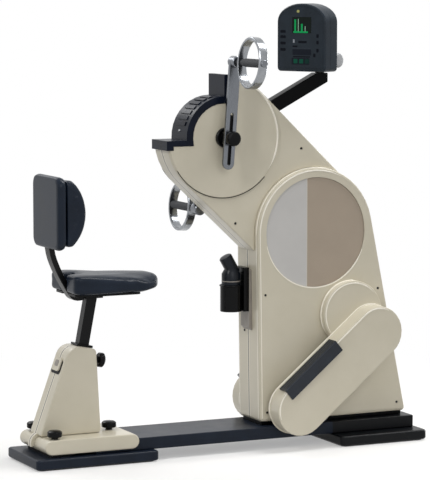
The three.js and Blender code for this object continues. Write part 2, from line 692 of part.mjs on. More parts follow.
function quarterCover() {
  const left = HUB_X - QUARTER_REACH;
  const outline = [
    [left, tabBottom - HOOK_DROP], [left + HOOK_LENGTH, tabBottom - HOOK_DROP], [left + HOOK_LENGTH, tabBottom],
  ].map(([x, z]) => new THREE.Vector2(x, z));
  const lowInner = Math.PI + Math.asin((HUB_Z - tabBottom) / QUARTER_INNER_RADIUS);
  const highInner = Math.acos((uprightRight - HUB_X) / QUARTER_INNER_RADIUS);
  const lowOuter = Math.PI + Math.asin((HUB_Z - tabTop) / QUARTER_OUTER_RADIUS);
  const highOuter = Math.acos((uprightLeft - HUB_X) / QUARTER_OUTER_RADIUS);
  outline.push(...arc(HUB_X, HUB_Z, QUARTER_INNER_RADIUS, lowInner, highInner));
  outline.push(new THREE.Vector2(uprightRight, HUB_Z + QUARTER_REACH));
  outline.push(new THREE.Vector2(uprightLeft, HUB_Z + QUARTER_REACH));
  outline.push(...arc(HUB_X, HUB_Z, QUARTER_OUTER_RADIUS, highOuter, lowOuter));
  outline.push(new THREE.Vector2(left, tabTop));
  const cover = slab('y', outline, -QUARTER_HALF_WIDTH, QUARTER_HALF_WIDTH);
  const stepDeg = (QUARTER_RIB_LAST_DEG - QUARTER_RIB_FIRST_DEG) / (QUARTER_RIB_COUNT - 1);
  const ribs = Array.from({ length: QUARTER_RIB_COUNT }, (_, i) => {
    const middle = QUARTER_RIB_FIRST_DEG + i * stepDeg;
    const [from, to] = [middle - QUARTER_RIB_DEG, middle + QUARTER_RIB_DEG].map(THREE.MathUtils.degToRad);
    const ring = [...arc(HUB_X, HUB_Z, QUARTER_OUTER_RADIUS + QUARTER_RIB_RISE, from, to),
      ...arc(HUB_X, HUB_Z, QUARTER_INNER_RADIUS + QUARTER_RIB_RISE, to, from)];
    return slab('y', ring, -QUARTER_RIB_HALF_WIDTH, QUARTER_RIB_HALF_WIDTH);
  });
  piece('quarter_cover', union(cover, ...ribs), slatePlastic);
}

function neckSolid(margin) {
  return slab('y', neckOutline(-margin), -NECK_HALF_WIDTH - margin, NECK_HALF_WIDTH + margin);
}

function neckCovers() {
  const outer = slab('y', neckOutline(0), -NECK_HALF_WIDTH, NECK_HALF_WIDTH, NECK_EDGE);
  const innerHalf = NECK_HALF_WIDTH - SHELL_WALL;
  const discFace = NECK_HALF_WIDTH + DRUM_DISC_RISE;
  const disc = rod('y', HUB_X, HUB_Z, DRUM_DISC_RADIUS, -discFace, discFace, DRUM_DISC_RISE / 2);
  const hollow = slab('y', neckOutline(SHELL_WALL), -innerHalf, innerHalf);
  const shaftHole = hole('y', HUB_X, HUB_Z, SHAFT_HOLE_RADIUS, -discFace - OVERRUN, discFace + OVERRUN);
  const bodyRoom = slab('y', bodyOutline(-CURVED_GAP), -BODY_HALF_WIDTH, BODY_HALF_WIDTH);
  const shell = cut(union(outer, disc), hollow, shaftHole, bodyRoom, quarterCut());
  for (const [name, side] of SIDES) {
    const half = shell.intersect(sideHalf(side));
    piece(`neck_shell_${name}`, cut(half, ...screwSeats(neckScrewPlaces, side)), creamShell);
  }
}

// Steel frame, bearings, belt drive, flywheel and brake yoke
const cheekOuter = CHEEK_INNER_Y + CHEEK_THICKNESS;
const bossOuter = cheekOuter + CHEEK_BOSS_LENGTH;
const shaftPlaces = [[HUB_X, HUB_Z, CRANKSHAFT_RADIUS], [BODY_CENTRE_X, BODY_CENTRE_Z, AXLE_RADIUS]];

function frameSpine() {
  const neckStrip = belt([[HUB_X, HUB_Z, CHEEK_HALF_WIDTH], [BODY_CENTRE_X, BODY_CENTRE_Z, CHEEK_HALF_WIDTH]]);
  const column = rectangle(BODY_CENTRE_X - CHEEK_HALF_WIDTH, bodyBottom, BODY_CENTRE_X + CHEEK_HALF_WIDTH,
    BODY_CENTRE_Z);
  const tieX = THREE.MathUtils.lerp(HUB_X, BODY_CENTRE_X, SPINE_TIE_SHARE);
  const tieZ = THREE.MathUtils.lerp(HUB_Z, BODY_CENTRE_Z, SPINE_TIE_SHARE);
  const parts = [spineFoot(0),
    rod('y', tieX, tieZ, SPINE_TIE_HALF_WIDTH, -cheekOuter, cheekOuter),
    block(BODY_CENTRE_X - SPINE_TIE_HALF_WIDTH, BODY_CENTRE_X + SPINE_TIE_HALF_WIDTH, -cheekOuter, cheekOuter,
      SPINE_LOW_TIE_Z - SPINE_TIE_HALF_WIDTH, SPINE_LOW_TIE_Z + SPINE_TIE_HALF_WIDTH)];
  for (const [, side] of SIDES) {
    parts.push(slab('y', neckStrip, side * CHEEK_INNER_Y, side * cheekOuter));
    parts.push(slab('y', column, side * CHEEK_INNER_Y, side * cheekOuter));
    for (const [x, z] of shaftPlaces) {
      parts.push(rod('y', x, z, CHEEK_BOSS_RADIUS, side * CHEEK_INNER_Y, side * bossOuter));
    }
  }
  const bores = shaftPlaces.flatMap(([x, z, radius]) => [
    hole('y', x, z, radius + RUNNING_GAP, -bossOuter - OVERRUN, bossOuter + OVERRUN),
    rod('y', x, z, BEARING_RADIUS, BEARING_WIDTH - bossOuter, bossOuter - BEARING_WIDTH)]);
  piece('frame_spine', cut(union(...parts), ...bores), steel);
}

function drive() {
  const hubEnd = ARM_INNER_Y - HUB_BLOCK_DEPTH - SEAT_GAP;
  const studEnd = ARM_INNER_Y + ARM_THICKNESS + STUD_LENGTH;
  piece('crankshaft', union(rod('y', HUB_X, HUB_Z, CRANKSHAFT_RADIUS, -hubEnd, hubEnd),
    rod('y', HUB_X, HUB_Z, STUD_RADIUS, -studEnd, studEnd)), steel);

  const pulleyFar = PULLEY_NEAR_Y + PULLEY_WIDTH;
  const holes = Array.from({ length: DRIVE_PULLEY_HOLES }, (_, i) => {
    const angle = 2 * Math.PI * i / DRIVE_PULLEY_HOLES;
    return rod('y', HUB_X + DRIVE_PULLEY_HOLE_CIRCLE * Math.cos(angle),
      HUB_Z + DRIVE_PULLEY_HOLE_CIRCLE * Math.sin(angle), DRIVE_PULLEY_HOLE_RADIUS,
      PULLEY_NEAR_Y - OVERRUN, pulleyFar + OVERRUN);
  });
  const pulley = union(rod('y', HUB_X, HUB_Z, DRIVE_PULLEY_RADIUS, PULLEY_NEAR_Y, pulleyFar),
    rod('y', HUB_X, HUB_Z, DRIVE_PULLEY_BOSS_RADIUS, -PULLEY_NEAR_Y, CHEEK_INNER_Y - SEAT_GAP));
  const shaftBore = hole('y', HUB_X, HUB_Z, CRANKSHAFT_RADIUS + SEAT_GAP, -cheekOuter, cheekOuter);
  piece('drive_pulley', cut(pulley, shaftBore, ...holes), blackPlastic);

  const beltMiddle = PULLEY_NEAR_Y + PULLEY_WIDTH / 2;
  const loop = (extra) => belt([[HUB_X, HUB_Z, DRIVE_PULLEY_RADIUS + extra],
    [BODY_CENTRE_X, BODY_CENTRE_Z, SMALL_PULLEY_RADIUS + extra]]);
  const beltSlab = (extra, half) => slab('y', loop(extra), beltMiddle - half, beltMiddle + half);
  piece('drive_belt', cut(beltSlab(INNER_CURVED_GAP + BELT_THICKNESS, BELT_WIDTH / 2),
    beltSlab(INNER_CURVED_GAP, BELT_WIDTH / 2 + OVERRUN)), rubber);

  const flywheelFar = FLYWHEEL_NEAR_Y + FLYWHEEL_WIDTH;
  const webMargin = (FLYWHEEL_WIDTH - FLYWHEEL_WEB) / 2;
  const dish = (from, to) => cut(rod('y', BODY_CENTRE_X, BODY_CENTRE_Z, FLYWHEEL_RADIUS - FLYWHEEL_RIM, from, to),
    rod('y', BODY_CENTRE_X, BODY_CENTRE_Z, SMALL_PULLEY_RADIUS, from - OVERRUN, to + OVERRUN));
  const wheel = cut(rod('y', BODY_CENTRE_X, BODY_CENTRE_Z, FLYWHEEL_RADIUS, FLYWHEEL_NEAR_Y, flywheelFar),
    dish(FLYWHEEL_NEAR_Y - OVERRUN, FLYWHEEL_NEAR_Y + webMargin), dish(flywheelFar - webMargin, flywheelFar + OVERRUN));
  const smallPulley = rod('y', BODY_CENTRE_X, BODY_CENTRE_Z, SMALL_PULLEY_RADIUS, flywheelFar - SEAT_GAP, pulleyFar);
  const axle = rod('y', BODY_CENTRE_X, BODY_CENTRE_Z, AXLE_RADIUS, -bossOuter, bossOuter);
  piece('flywheel', union(wheel, smallPulley, axle), castIron);
}

function brakeYoke() {
  const angle = THREE.MathUtils.degToRad(YOKE_DEG);
  const x = BODY_CENTRE_X + FLYWHEEL_RADIUS * Math.cos(angle);
  const z = BODY_CENTRE_Z + FLYWHEEL_RADIUS * Math.sin(angle);
  const strapNear = cheekOuter + SEAT_GAP;
  const strapFar = strapNear + YOKE_STRAP;
  const head = slab('y', rectangle(x - YOKE_HALF_WIDTH, z - YOKE_HALF_WIDTH, x + YOKE_HALF_WIDTH,
    z + YOKE_HALF_WIDTH, YOKE_STRAP), YOKE_NEAR_Y, strapFar);
  const strap = slab('y', belt([[BODY_CENTRE_X, BODY_CENTRE_Z - YOKE_STRAP_DROP, YOKE_STRAP_RADIUS],
    [x, z, YOKE_STRAP_RADIUS]]), strapNear, strapFar);
  const groove = hole('y', BODY_CENTRE_X, BODY_CENTRE_Z, FLYWHEEL_RADIUS + YOKE_CLEARANCE,
    FLYWHEEL_NEAR_Y - YOKE_CLEARANCE, FLYWHEEL_NEAR_Y + FLYWHEEL_WIDTH + YOKE_CLEARANCE);
  piece('brake_yoke', cut(union(head, strap), groove), steel);
}

// Cranks, built upright on the hub and then tipped
function clampKnob(side) {
  const face = ARM_INNER_Y + ARM_THICKNESS + SEAT_GAP;
  const end = face + CLAMP_KNOB_LENGTH;
  const bore = STUD_RADIUS + SEAT_GAP;
  const boreEnd = face + STUD_LENGTH + SEAT_GAP;
  const profile = [[0, boreEnd], [bore, boreEnd], [bore, face], [CLAMP_KNOB_SHOULDER, face],
    [CLAMP_KNOB_SHOULDER, face + CLAMP_KNOB_SHOULDER / 2], [CLAMP_KNOB_RADIUS - BOSS_BEVEL, face + CLAMP_KNOB_SHOULDER / 2],
    [CLAMP_KNOB_RADIUS, face + CLAMP_KNOB_SHOULDER], [CLAMP_KNOB_RADIUS, end - CLAMP_KNOB_SHOULDER / 2],
    [CLAMP_KNOB_RADIUS - BOSS_BEVEL, end - BOSS_BEVEL], [CLAMP_KNOB_SHOULDER, end], [0, end]];
  return turned('y', 0, 0, profile.map(([radius, along]) => [radius, side * along]));
}


function cranks() {
  for (const [name, side] of SIDES) {
    const place = tipped(HUB_X, HUB_Z, CRANK_LEAN_DEG + (side > 0 ? 180 : 0));
    const outerY = ARM_INNER_Y + ARM_THICKNESS;
    const half = ARM_WIDTH / 2;

    const discInner = NECK_HALF_WIDTH + DRUM_DISC_RISE + 2 * SEAT_GAP;
    const blockInner = ARM_INNER_Y - SEAT_GAP - HUB_BLOCK_DEPTH;
    const hub = union(
      rod('y', 0, 0, HUB_DISC_RADIUS, side * discInner, side * (discInner + HUB_DISC_THICKNESS), BOSS_BEVEL),
      rod('y', 0, 0, HUB_NECK_RADIUS, side * discInner, side * (ARM_INNER_Y - SEAT_GAP)),
      slab('y', rectangle(-half, -half, half, half, BOSS_BEVEL), side * blockInner, side * (ARM_INNER_Y - SEAT_GAP)));
    const shaftBore = hole('y', 0, 0, CRANKSHAFT_RADIUS + SEAT_GAP, side * (discInner - OVERRUN), side * blockInner);
    const studBore = hole('y', 0, 0, STUD_RADIUS + SEAT_GAP, side * discInner, side * outerY);
    piece(`crank_hub_${name}`, placed(cut(hub, shaftBore, studBore), place), blackPlastic);

    const bar = slab('y', belt([[0, half - ARM_TAIL, half], [0, CRANK_RADIUS, half]]),
      side * ARM_INNER_Y, side * outerY, BOSS_BEVEL / 2);
    const slotHalf = SLOT_WIDTH / 2;
    const slot = slab('y', belt([[0, SLOT_END_WALL + slotHalf - ARM_TAIL, slotHalf], [0, SLOT_ABOVE_HUB, slotHalf]]),
      side * (ARM_INNER_Y - OVERRUN), side * (outerY + OVERRUN));
    const bossInner = ARM_INNER_Y - BOSS_LENGTH / 4;
    const bossEnd = bossInner + BOSS_LENGTH;
    const boss = rod('y', 0, CRANK_RADIUS, BOSS_RADIUS, side * bossInner, side * bossEnd, BOSS_BEVEL);
    const ringEnd = RING_CENTRE_Y + RING_RADIUS + SEAT_GAP;
    const spindle = rod('y', 0, CRANK_RADIUS, SPINDLE_RADIUS, side * outerY, side * (ringEnd + SPINDLE_CAP_LENGTH / 2));
    const cap = rod('y', 0, CRANK_RADIUS, SPINDLE_CAP_RADIUS, side * ringEnd, side * (ringEnd + SPINDLE_CAP_LENGTH),
      BOSS_BEVEL / 2);
    piece(`crank_arm_${name}`, placed(union(cut(bar, slot), boss, spindle, cap), place), chrome);
    piece(`clamp_knob_${name}`, placed(clampKnob(side), place), blackPlastic);

    const spindleBore = SPINDLE_RADIUS + RUNNING_GAP;
    const innerWall = RING_CENTRE_Y - RING_RADIUS;
    const gripStart = bossEnd + SEAT_GAP;
    const taperStart = innerWall + RING_WALL + BOSS_BEVEL;
    const insideRadius = RING_RADIUS - RING_WALL;
    const gripEnd = RING_CENTRE_Y + Math.sqrt((insideRadius - CURVED_GAP) ** 2 - GRIP_RADIUS ** 2);
    const gripProfile = [[spindleBore, gripStart], [GRIP_NECK_RADIUS, gripStart], [GRIP_NECK_RADIUS, taperStart],
      [GRIP_RADIUS, taperStart + GRIP_TAPER], [GRIP_RADIUS, gripEnd], [spindleBore, gripEnd], [spindleBore, gripStart]];
    const grip = turned('y', 0, CRANK_RADIUS, gripProfile.map(([radius, along]) => [radius, side * along]));
    piece(`grip_${name}`, placed(grip, place), gripFoam);

    const ringMiddle = side * RING_CENTRE_Y;
    const ring = cut(rod('x', ringMiddle, CRANK_RADIUS, RING_RADIUS, -RING_WIDTH / 2, RING_WIDTH / 2, RING_BEVEL),
      rod('x', ringMiddle, CRANK_RADIUS, insideRadius, -RING_WIDTH, RING_WIDTH),
      hole('y', 0, CRANK_RADIUS, GRIP_NECK_RADIUS + SEAT_GAP, side * innerWall - side * OVERRUN, ringMiddle),
      hole('y', 0, CRANK_RADIUS, spindleBore, ringMiddle, side * (ringEnd + OVERRUN)));
    piece(`hand_ring_${name}`, placed(ring, place), chrome);
  }
}

// Footrests
function footrests() {
  const low = new THREE.Vector2(FOOTREST_LOW_X, FOOTREST_LOW_Z);
  const high = new THREE.Vector2(FOOTREST_HIGH_X, FOOTREST_HIGH_Z);
  const slopeDeg = THREE.MathUtils.radToDeg(high.clone().sub(low).angle());
  const capsule = (radius) => belt([[low.x, low.y, radius], [high.x, high.y, radius]]);
  const bossOuterY = BODY_HALF_WIDTH + SEAT_GAP + FOOT_BOSS_DEPTH;
  const innerY = bossOuterY;
  const outerY = innerY + FOOTREST_DEPTH;
  for (const [name, side] of SIDES) {
    const boss = rod('y', FOOT_BOSS_X, FOOT_BOSS_Z, FOOT_BOSS_RADIUS, side * (BODY_HALF_WIDTH + SEAT_GAP),
      side * (bossOuterY + SHELL_WALL), FOOT_BOSS_BEVEL);
    const cover = slab('y', capsule(FOOTREST_RADIUS), side * innerY, side * outerY, FOOTREST_BEVEL);
    const rim = slab('y', capsule(FOOTREST_RADIUS + FOOTREST_RIM_RISE), side * innerY,
      side * (innerY + FOOTREST_RIM_DEPTH), FOOTREST_RIM_RISE);
    piece(`footrest_${name}`, union(cover, rim, boss), creamShell);

    const top = FOOTREST_RADIUS + SEAT_GAP;
    const faceIn = outerY + SEAT_GAP;
    const faceOut = faceIn + TREAD_THICKNESS;
    const profile = [[faceOut - TREAD_TOP_WIDTH, top], [faceIn, top], [faceIn, top - TREAD_SIDE_HEIGHT],
      [faceOut, top - TREAD_SIDE_HEIGHT], [faceOut, top + TREAD_THICKNESS - TREAD_GROOVE],
      [faceOut - TREAD_GROOVE, top + TREAD_THICKNESS], [faceOut - TREAD_TOP_WIDTH, top + TREAD_THICKNESS]]
      .map(([y, z]) => new THREE.Vector2(side * y, z));
    if (side < 0) profile.reverse();
    const pad = slab('x', profile, TREAD_START, TREAD_START + TREAD_LENGTH);
    const grooves = Array.from({ length: TREAD_GROOVES }, (_, i) => {
      const middle = side * (faceOut - TREAD_TOP_WIDTH * (i + 1) / (TREAD_GROOVES + 1));
      return slab('x', rectangle(middle - TREAD_GROOVE / 2, top + TREAD_THICKNESS - TREAD_GROOVE,
        middle + TREAD_GROOVE / 2, top + TREAD_THICKNESS + OVERRUN),
      TREAD_START + TREAD_THICKNESS, TREAD_START + TREAD_LENGTH - TREAD_THICKNESS);
    });
    piece(`tread_pad_${name}`, placed(cut(pad, ...grooves), tipped(low.x, low.y, -slopeDeg)), navyPaint);
  }
}

// Console arm, swivel post and console; the console is built facing +X and then turned
function consoleOutline(inset) {
  const half = CONSOLE_HALF_WIDTH - inset;
  const bottom = consoleBottom + inset;
  const springing = consoleTop - CONSOLE_ARCH_RISE;
  const rise = CONSOLE_ARCH_RISE - inset;
  const corner = CONSOLE_CORNER - inset / 2;
  const foot = [...arc(corner - half, bottom + corner, corner, Math.PI, 3 * Math.PI / 2),
    ...arc(half - corner, bottom + corner, corner, -Math.PI / 2, 0)];
  const arch = arc(0, 0, half, 0, Math.PI).map((point) =>
    new THREE.Vector2(point.x, springing + point.y * rise / half));
  return [...foot, ...arch].filter((point, i, all) => i === 0 || point.distanceTo(all[i - 1]) > SEAT_GAP);
}

function consoleGroup() {
  const left = CONSOLE_AXIS_X - CONSOLE_ARM_HALF;
  const right = CONSOLE_AXIS_X + CONSOLE_ARM_HALF;
  const slope = THREE.MathUtils.degToRad(CONSOLE_ARM_SLOPE_DEG);
  const drop = CONSOLE_ARM_DEPTH / Math.cos(slope);
  const fall = (x) => consoleArmTop - (left - x) * Math.tan(slope);
  const start = left - CONSOLE_ARM_REACH;
  const armOutline = [[start, fall(start) - drop], [right, fall(right) - drop], [right, consoleArmTop],
    [left, consoleArmTop], [start, fall(start)]].map(([x, z]) => new THREE.Vector2(x, z));
  const arm = slab('y', armOutline, -CONSOLE_ARM_HALF, CONSOLE_ARM_HALF);
  piece('console_arm', cut(arm, neckSolid(SEAT_GAP)), blackPlastic);

  const turn = new THREE.Matrix4().makeRotationZ(Math.PI + THREE.MathUtils.degToRad(CONSOLE_YAW_DEG));
  const place = new THREE.Matrix4().makeTranslation(CONSOLE_AXIS_X, 0, 0).multiply(turn);
  const bolt = (margin, from, to) => hole('y', 0, tiltAxisZ, BOLT_RADIUS + margin, from, to);

  const post = union(rod('z', 0, 0, POST_RADIUS, consoleArmTop + SEAT_GAP, tiltAxisZ),
    rod('y', 0, tiltAxisZ, BARREL_RADIUS, -BARREL_HALF_LENGTH, BARREL_HALF_LENGTH));
  piece('swivel_post', placed(cut(post, bolt(RUNNING_GAP, -CONSOLE_HALF_WIDTH, CONSOLE_HALF_WIDTH)), place),
    blackPlastic);

  const back = CONSOLE_STANDOFF;
  const face = back + CONSOLE_DEPTH;
  const outer = slab('x', consoleOutline(0), back, face, CONSOLE_EDGE);
  const hollow = slab('x', consoleOutline(CONSOLE_WALL), back + CONSOLE_WALL, face - CONSOLE_WALL);
  const split = face - CONSOLE_SPLIT_DEPTH;
  const reach = 2 * CONSOLE_HALF_WIDTH;
  const slice = (from, to) => block(from, to, -reach, reach, consoleBottom - reach, consoleTop + reach);
  const shell = cut(outer, hollow);
  const overlayBack = face - OVERLAY_THICKNESS;
  const overlay = (margin) => slab('x', consoleOutline(OVERLAY_MARGIN - margin), overlayBack - margin,
    margin > 0 ? face + OVERRUN : face);
  const lens = (margin) => slab('x', rectangle(LENS_LEFT_Y - margin, lensBottom - margin, LENS_RIGHT_Y + margin,
    lensTop + margin), overlayBack - (margin > 0 ? OVERRUN : 0), margin > 0 ? face + OVERRUN : face);
  piece('console_front', placed(cut(shell.intersect(slice(split + SEAT_GAP / 2, face + OVERRUN)),
    overlay(SEAT_GAP)), place), slatePlastic);
  piece('key_overlay', placed(cut(overlay(0), lens(SEAT_GAP)), place), slatePlastic);
  piece('display_lens', placed(lens(0), place), lensGlass);

  const lugs = SIDES.map(([, side]) => {
    const from = side * (BARREL_HALF_LENGTH + SEAT_GAP);
    const outline = belt([[0, tiltAxisZ, BARREL_RADIUS],
      [back + CONSOLE_WALL / 2, tiltAxisZ - BARREL_RADIUS, CONSOLE_WALL / 2],
      [back + CONSOLE_WALL / 2, tiltAxisZ + 2 * BARREL_RADIUS, CONSOLE_WALL / 2]]);
    return slab('y', outline, from, from + side * LUG_THICKNESS);
  });
  const rear = union(shell.intersect(slice(back - OVERRUN, split - SEAT_GAP / 2)), ...lugs);
  piece('console_back', placed(cut(rear, bolt(SEAT_GAP, -CONSOLE_HALF_WIDTH, CONSOLE_HALF_WIDTH)), place),
    slatePlastic);

  const lugFace = BARREL_HALF_LENGTH + SEAT_GAP + LUG_THICKNESS;
  const knobFace = lugFace + SEAT_GAP;
  const knobBody = knobFace + TILT_KNOB_STEM;
  const knobEnd = knobBody + TILT_KNOB_LENGTH;
  const head = -knobFace - BOLT_HEAD_LENGTH;
  const knob = turned('y', 0, tiltAxisZ, [[0, head], [BOLT_HEAD_RADIUS, head], [BOLT_HEAD_RADIUS, -knobFace],
    [BOLT_RADIUS, -knobFace], [BOLT_RADIUS, knobFace],
    [TILT_KNOB_SHOULDER, knobFace], [TILT_KNOB_SHOULDER, knobBody], [TILT_KNOB_RADIUS - BOSS_BEVEL, knobBody],
    [TILT_KNOB_RADIUS, knobBody + BOSS_BEVEL], [TILT_KNOB_RADIUS, knobEnd - 2 * BOSS_BEVEL],
    [TILT_KNOB_RADIUS - BOSS_BEVEL, knobEnd - BOSS_BEVEL / 2], [TILT_KNOB_SHOULDER, knobEnd], [0, knobEnd]]);
  piece('tilt_knob', placed(knob, place), greyPlastic);
}

// Bottle, its holder and the mounting plate on the body's front
function bottleGroup() {
  const plateFront = BODY_FRONT_X - BOTTLE_PLATE_PROUD - BODY_EDGE;
  const chamfer = BOTTLE_PLATE_CHAMFER;
  const outline = [[plateFront, BOTTLE_PLATE_LOW_Z + chamfer], [plateFront + chamfer, BOTTLE_PLATE_LOW_Z],
    [BODY_FRONT_X + BODY_EDGE, BOTTLE_PLATE_LOW_Z], [BODY_FRONT_X + BODY_EDGE, BOTTLE_PLATE_HIGH_Z],
    [plateFront, BOTTLE_PLATE_HIGH_Z]].map(([x, z]) => new THREE.Vector2(x, z));
  const bodyRoom = slab('y', bodyOutline(-CURVED_GAP), -BODY_HALF_WIDTH, BODY_HALF_WIDTH);
  piece('bottle_plate', cut(slab('y', outline, -BOTTLE_PLATE_HALF_WIDTH, BOTTLE_PLATE_HALF_WIDTH), bodyRoom),
    greyPlastic);

  const backFace = plateFront - SEAT_GAP;
  const backFront = backFace - HOLDER_BACK_THICKNESS;
  const axisX = backFront - HOLDER_RADIUS + HOLDER_WALL;
  const cup = union(rod('z', axisX, 0, HOLDER_RADIUS, HOLDER_LOW_Z, HOLDER_RIM_Z),
    rod('z', axisX, 0, HOLDER_RADIUS + HOLDER_LIP, HOLDER_RIM_Z - HOLDER_LIP_HEIGHT, HOLDER_RIM_Z, HOLDER_LIP / 2));
  const backPlate = block(backFront, backFace, -HOLDER_BACK_HALF_WIDTH, HOLDER_BACK_HALF_WIDTH,
    HOLDER_LOW_Z, HOLDER_BACK_Z);
  const keep = block(axisX - 2 * HOLDER_RADIUS, backFace, -2 * HOLDER_RADIUS, 2 * HOLDER_RADIUS,
    HOLDER_LOW_Z - OVERRUN, HOLDER_BACK_Z + OVERRUN);
  const inside = hole('z', axisX, 0, HOLDER_RADIUS - HOLDER_WALL, HOLDER_LOW_Z + HOLDER_WALL, HOLDER_BACK_Z + OVERRUN);
  piece('bottle_holder', cut(union(cup, backPlate), inside).intersect(keep), blackPlastic);

  const low = HOLDER_LOW_Z + HOLDER_WALL + SEAT_GAP;
  const shoulderTop = BOTTLE_SHOULDER_Z + BOTTLE_SHOULDER_HEIGHT;
  const waist = BOTTLE_RADIUS - BOTTLE_WAIST_DEPTH;
  const flask = turned('z', axisX, 0, [[0, low], [BOTTLE_RADIUS - BOSS_BEVEL, low], [BOTTLE_RADIUS, low + BOSS_BEVEL],
    [BOTTLE_RADIUS, BOTTLE_WAIST_Z - BOSS_BEVEL], [waist, BOTTLE_WAIST_Z], [BOTTLE_RADIUS, BOTTLE_WAIST_Z + BOSS_BEVEL],
    [BOTTLE_RADIUS, BOTTLE_SHOULDER_Z], [BOTTLE_NECK_RADIUS, shoulderTop], [0, shoulderTop]]);
  const capBody = turned('z', 0, 0, [[0, -BOTTLE_NECK_RADIUS], [BOTTLE_CAP_RADIUS, -BOTTLE_NECK_RADIUS],
    [BOTTLE_CAP_RADIUS, BOTTLE_CAP_LENGTH - 2 * BOSS_BEVEL], [BOTTLE_CAP_RADIUS - BOSS_BEVEL, BOTTLE_CAP_LENGTH - BOSS_BEVEL],
    [0, BOTTLE_CAP_LENGTH]]);
  const cap = placed(capBody, tipped(axisX, shoulderTop, BOTTLE_CAP_LEAN_DEG));
  const above = rod('z', axisX, 0, 2 * BOTTLE_RADIUS, BOTTLE_SHOULDER_Z, shoulderTop + 2 * BOTTLE_CAP_LENGTH);
  piece('bottle', union(flask, cap.intersect(above)), blackPlastic);
}

// Seat carriage on the rail
const linerTop = railTop + SEAT_GAP + GLIDE_THICKNESS;
const frameTop = linerTop + SEAT_GAP + FRAME_PLATE_THICKNESS;
const saddleTop = frameTop + SEAT_GAP + SADDLE_WALL;
const postPlace = tipped(POST_FOOT_X, saddleTop, POST_LEAN_DEG);
const carriageShift = rearPlateStart + SADDLE_REAR_INSET - SADDLE_REAR_X;

function carriagePiece(name, body, material) {
  piece(name, body, material, carriageShift);
}

function postBar(half, from, to) {
  return placed(block(-half, half, -half, half, from, to), postPlace);
}

function knobPlaces() {
  return [['rear_knob_near', KNOB_REAR_X, -KNOB_REAR_Y, plateTop], ['rear_knob_far', KNOB_REAR_X, KNOB_REAR_Y, plateTop],
    ['front_knob', KNOB_FRONT_X, 0, railTop]];
}

function mushroom(axis, x, y, stemFrom, face) {
  const head = face + KNOB_STEM_HEIGHT;
  const end = face + KNOB_HEIGHT;
  return turned(axis, x, y, [[0, stemFrom], [KNOB_SCREW_RADIUS, stemFrom], [KNOB_SCREW_RADIUS, face],
    [KNOB_STEM_RADIUS, face], [KNOB_STEM_RADIUS, head], [KNOB_RADIUS - BOSS_BEVEL, head],
    [KNOB_RADIUS, head + BOSS_BEVEL], [KNOB_RADIUS, end - 2 * BOSS_BEVEL],
    [KNOB_RADIUS - 2 * BOSS_BEVEL, end - BOSS_BEVEL / 2], [0, end]]);
}

function pedestalOutline(inset) {
  return belt([[PEDESTAL_FOOT_REAR_X + PEDESTAL_FOOT_CORNER, saddleTop + SEAT_GAP + PEDESTAL_FOOT_CORNER,
    PEDESTAL_FOOT_CORNER - inset],
  [PEDESTAL_FOOT_FRONT_X - PEDESTAL_FOOT_CORNER, saddleTop + SEAT_GAP + PEDESTAL_FOOT_CORNER,
    PEDESTAL_FOOT_CORNER - inset],
  [PEDESTAL_NOSE_X, PEDESTAL_NOSE_Z, PEDESTAL_NOSE_RADIUS - inset],
  [PEDESTAL_BACK_X, PEDESTAL_BACK_Z, PEDESTAL_BACK_RADIUS - inset]]);
}

function saddleOutline(inset) {
  const radius = (saddleTop - railTop + SADDLE_DROP) / 2;
  return belt([[SADDLE_REAR_X + radius, saddleTop - radius, radius - inset],
    [SADDLE_FRONT_X - radius, saddleTop - radius, radius - inset]]);
}

// The pedestal's tongue laps over the saddle's round rear end
function pedestalTongue() {
  const radius = (saddleTop - railTop + SADDLE_DROP) / 2;
  const first = THREE.MathUtils.degToRad(PEDESTAL_TONGUE_FIRST_DEG);
  const last = THREE.MathUtils.degToRad(PEDESTAL_TONGUE_LAST_DEG);
  const [x, z] = [SADDLE_REAR_X + radius, saddleTop - radius];
  const outline = [...arc(x, z, PEDESTAL_TONGUE_RADIUS, first, last),
    ...arc(x, z, radius + CURVED_GAP, first, last).reverse()];
  return slab('y', outline, -PEDESTAL_TONGUE_HALF_WIDTH, PEDESTAL_TONGUE_HALF_WIDTH);
}

function heightKnobBore(radius, from, to) {
  return placed(hole('x', 0, HEIGHT_KNOB_LEVEL, radius, from, to), postPlace);
}

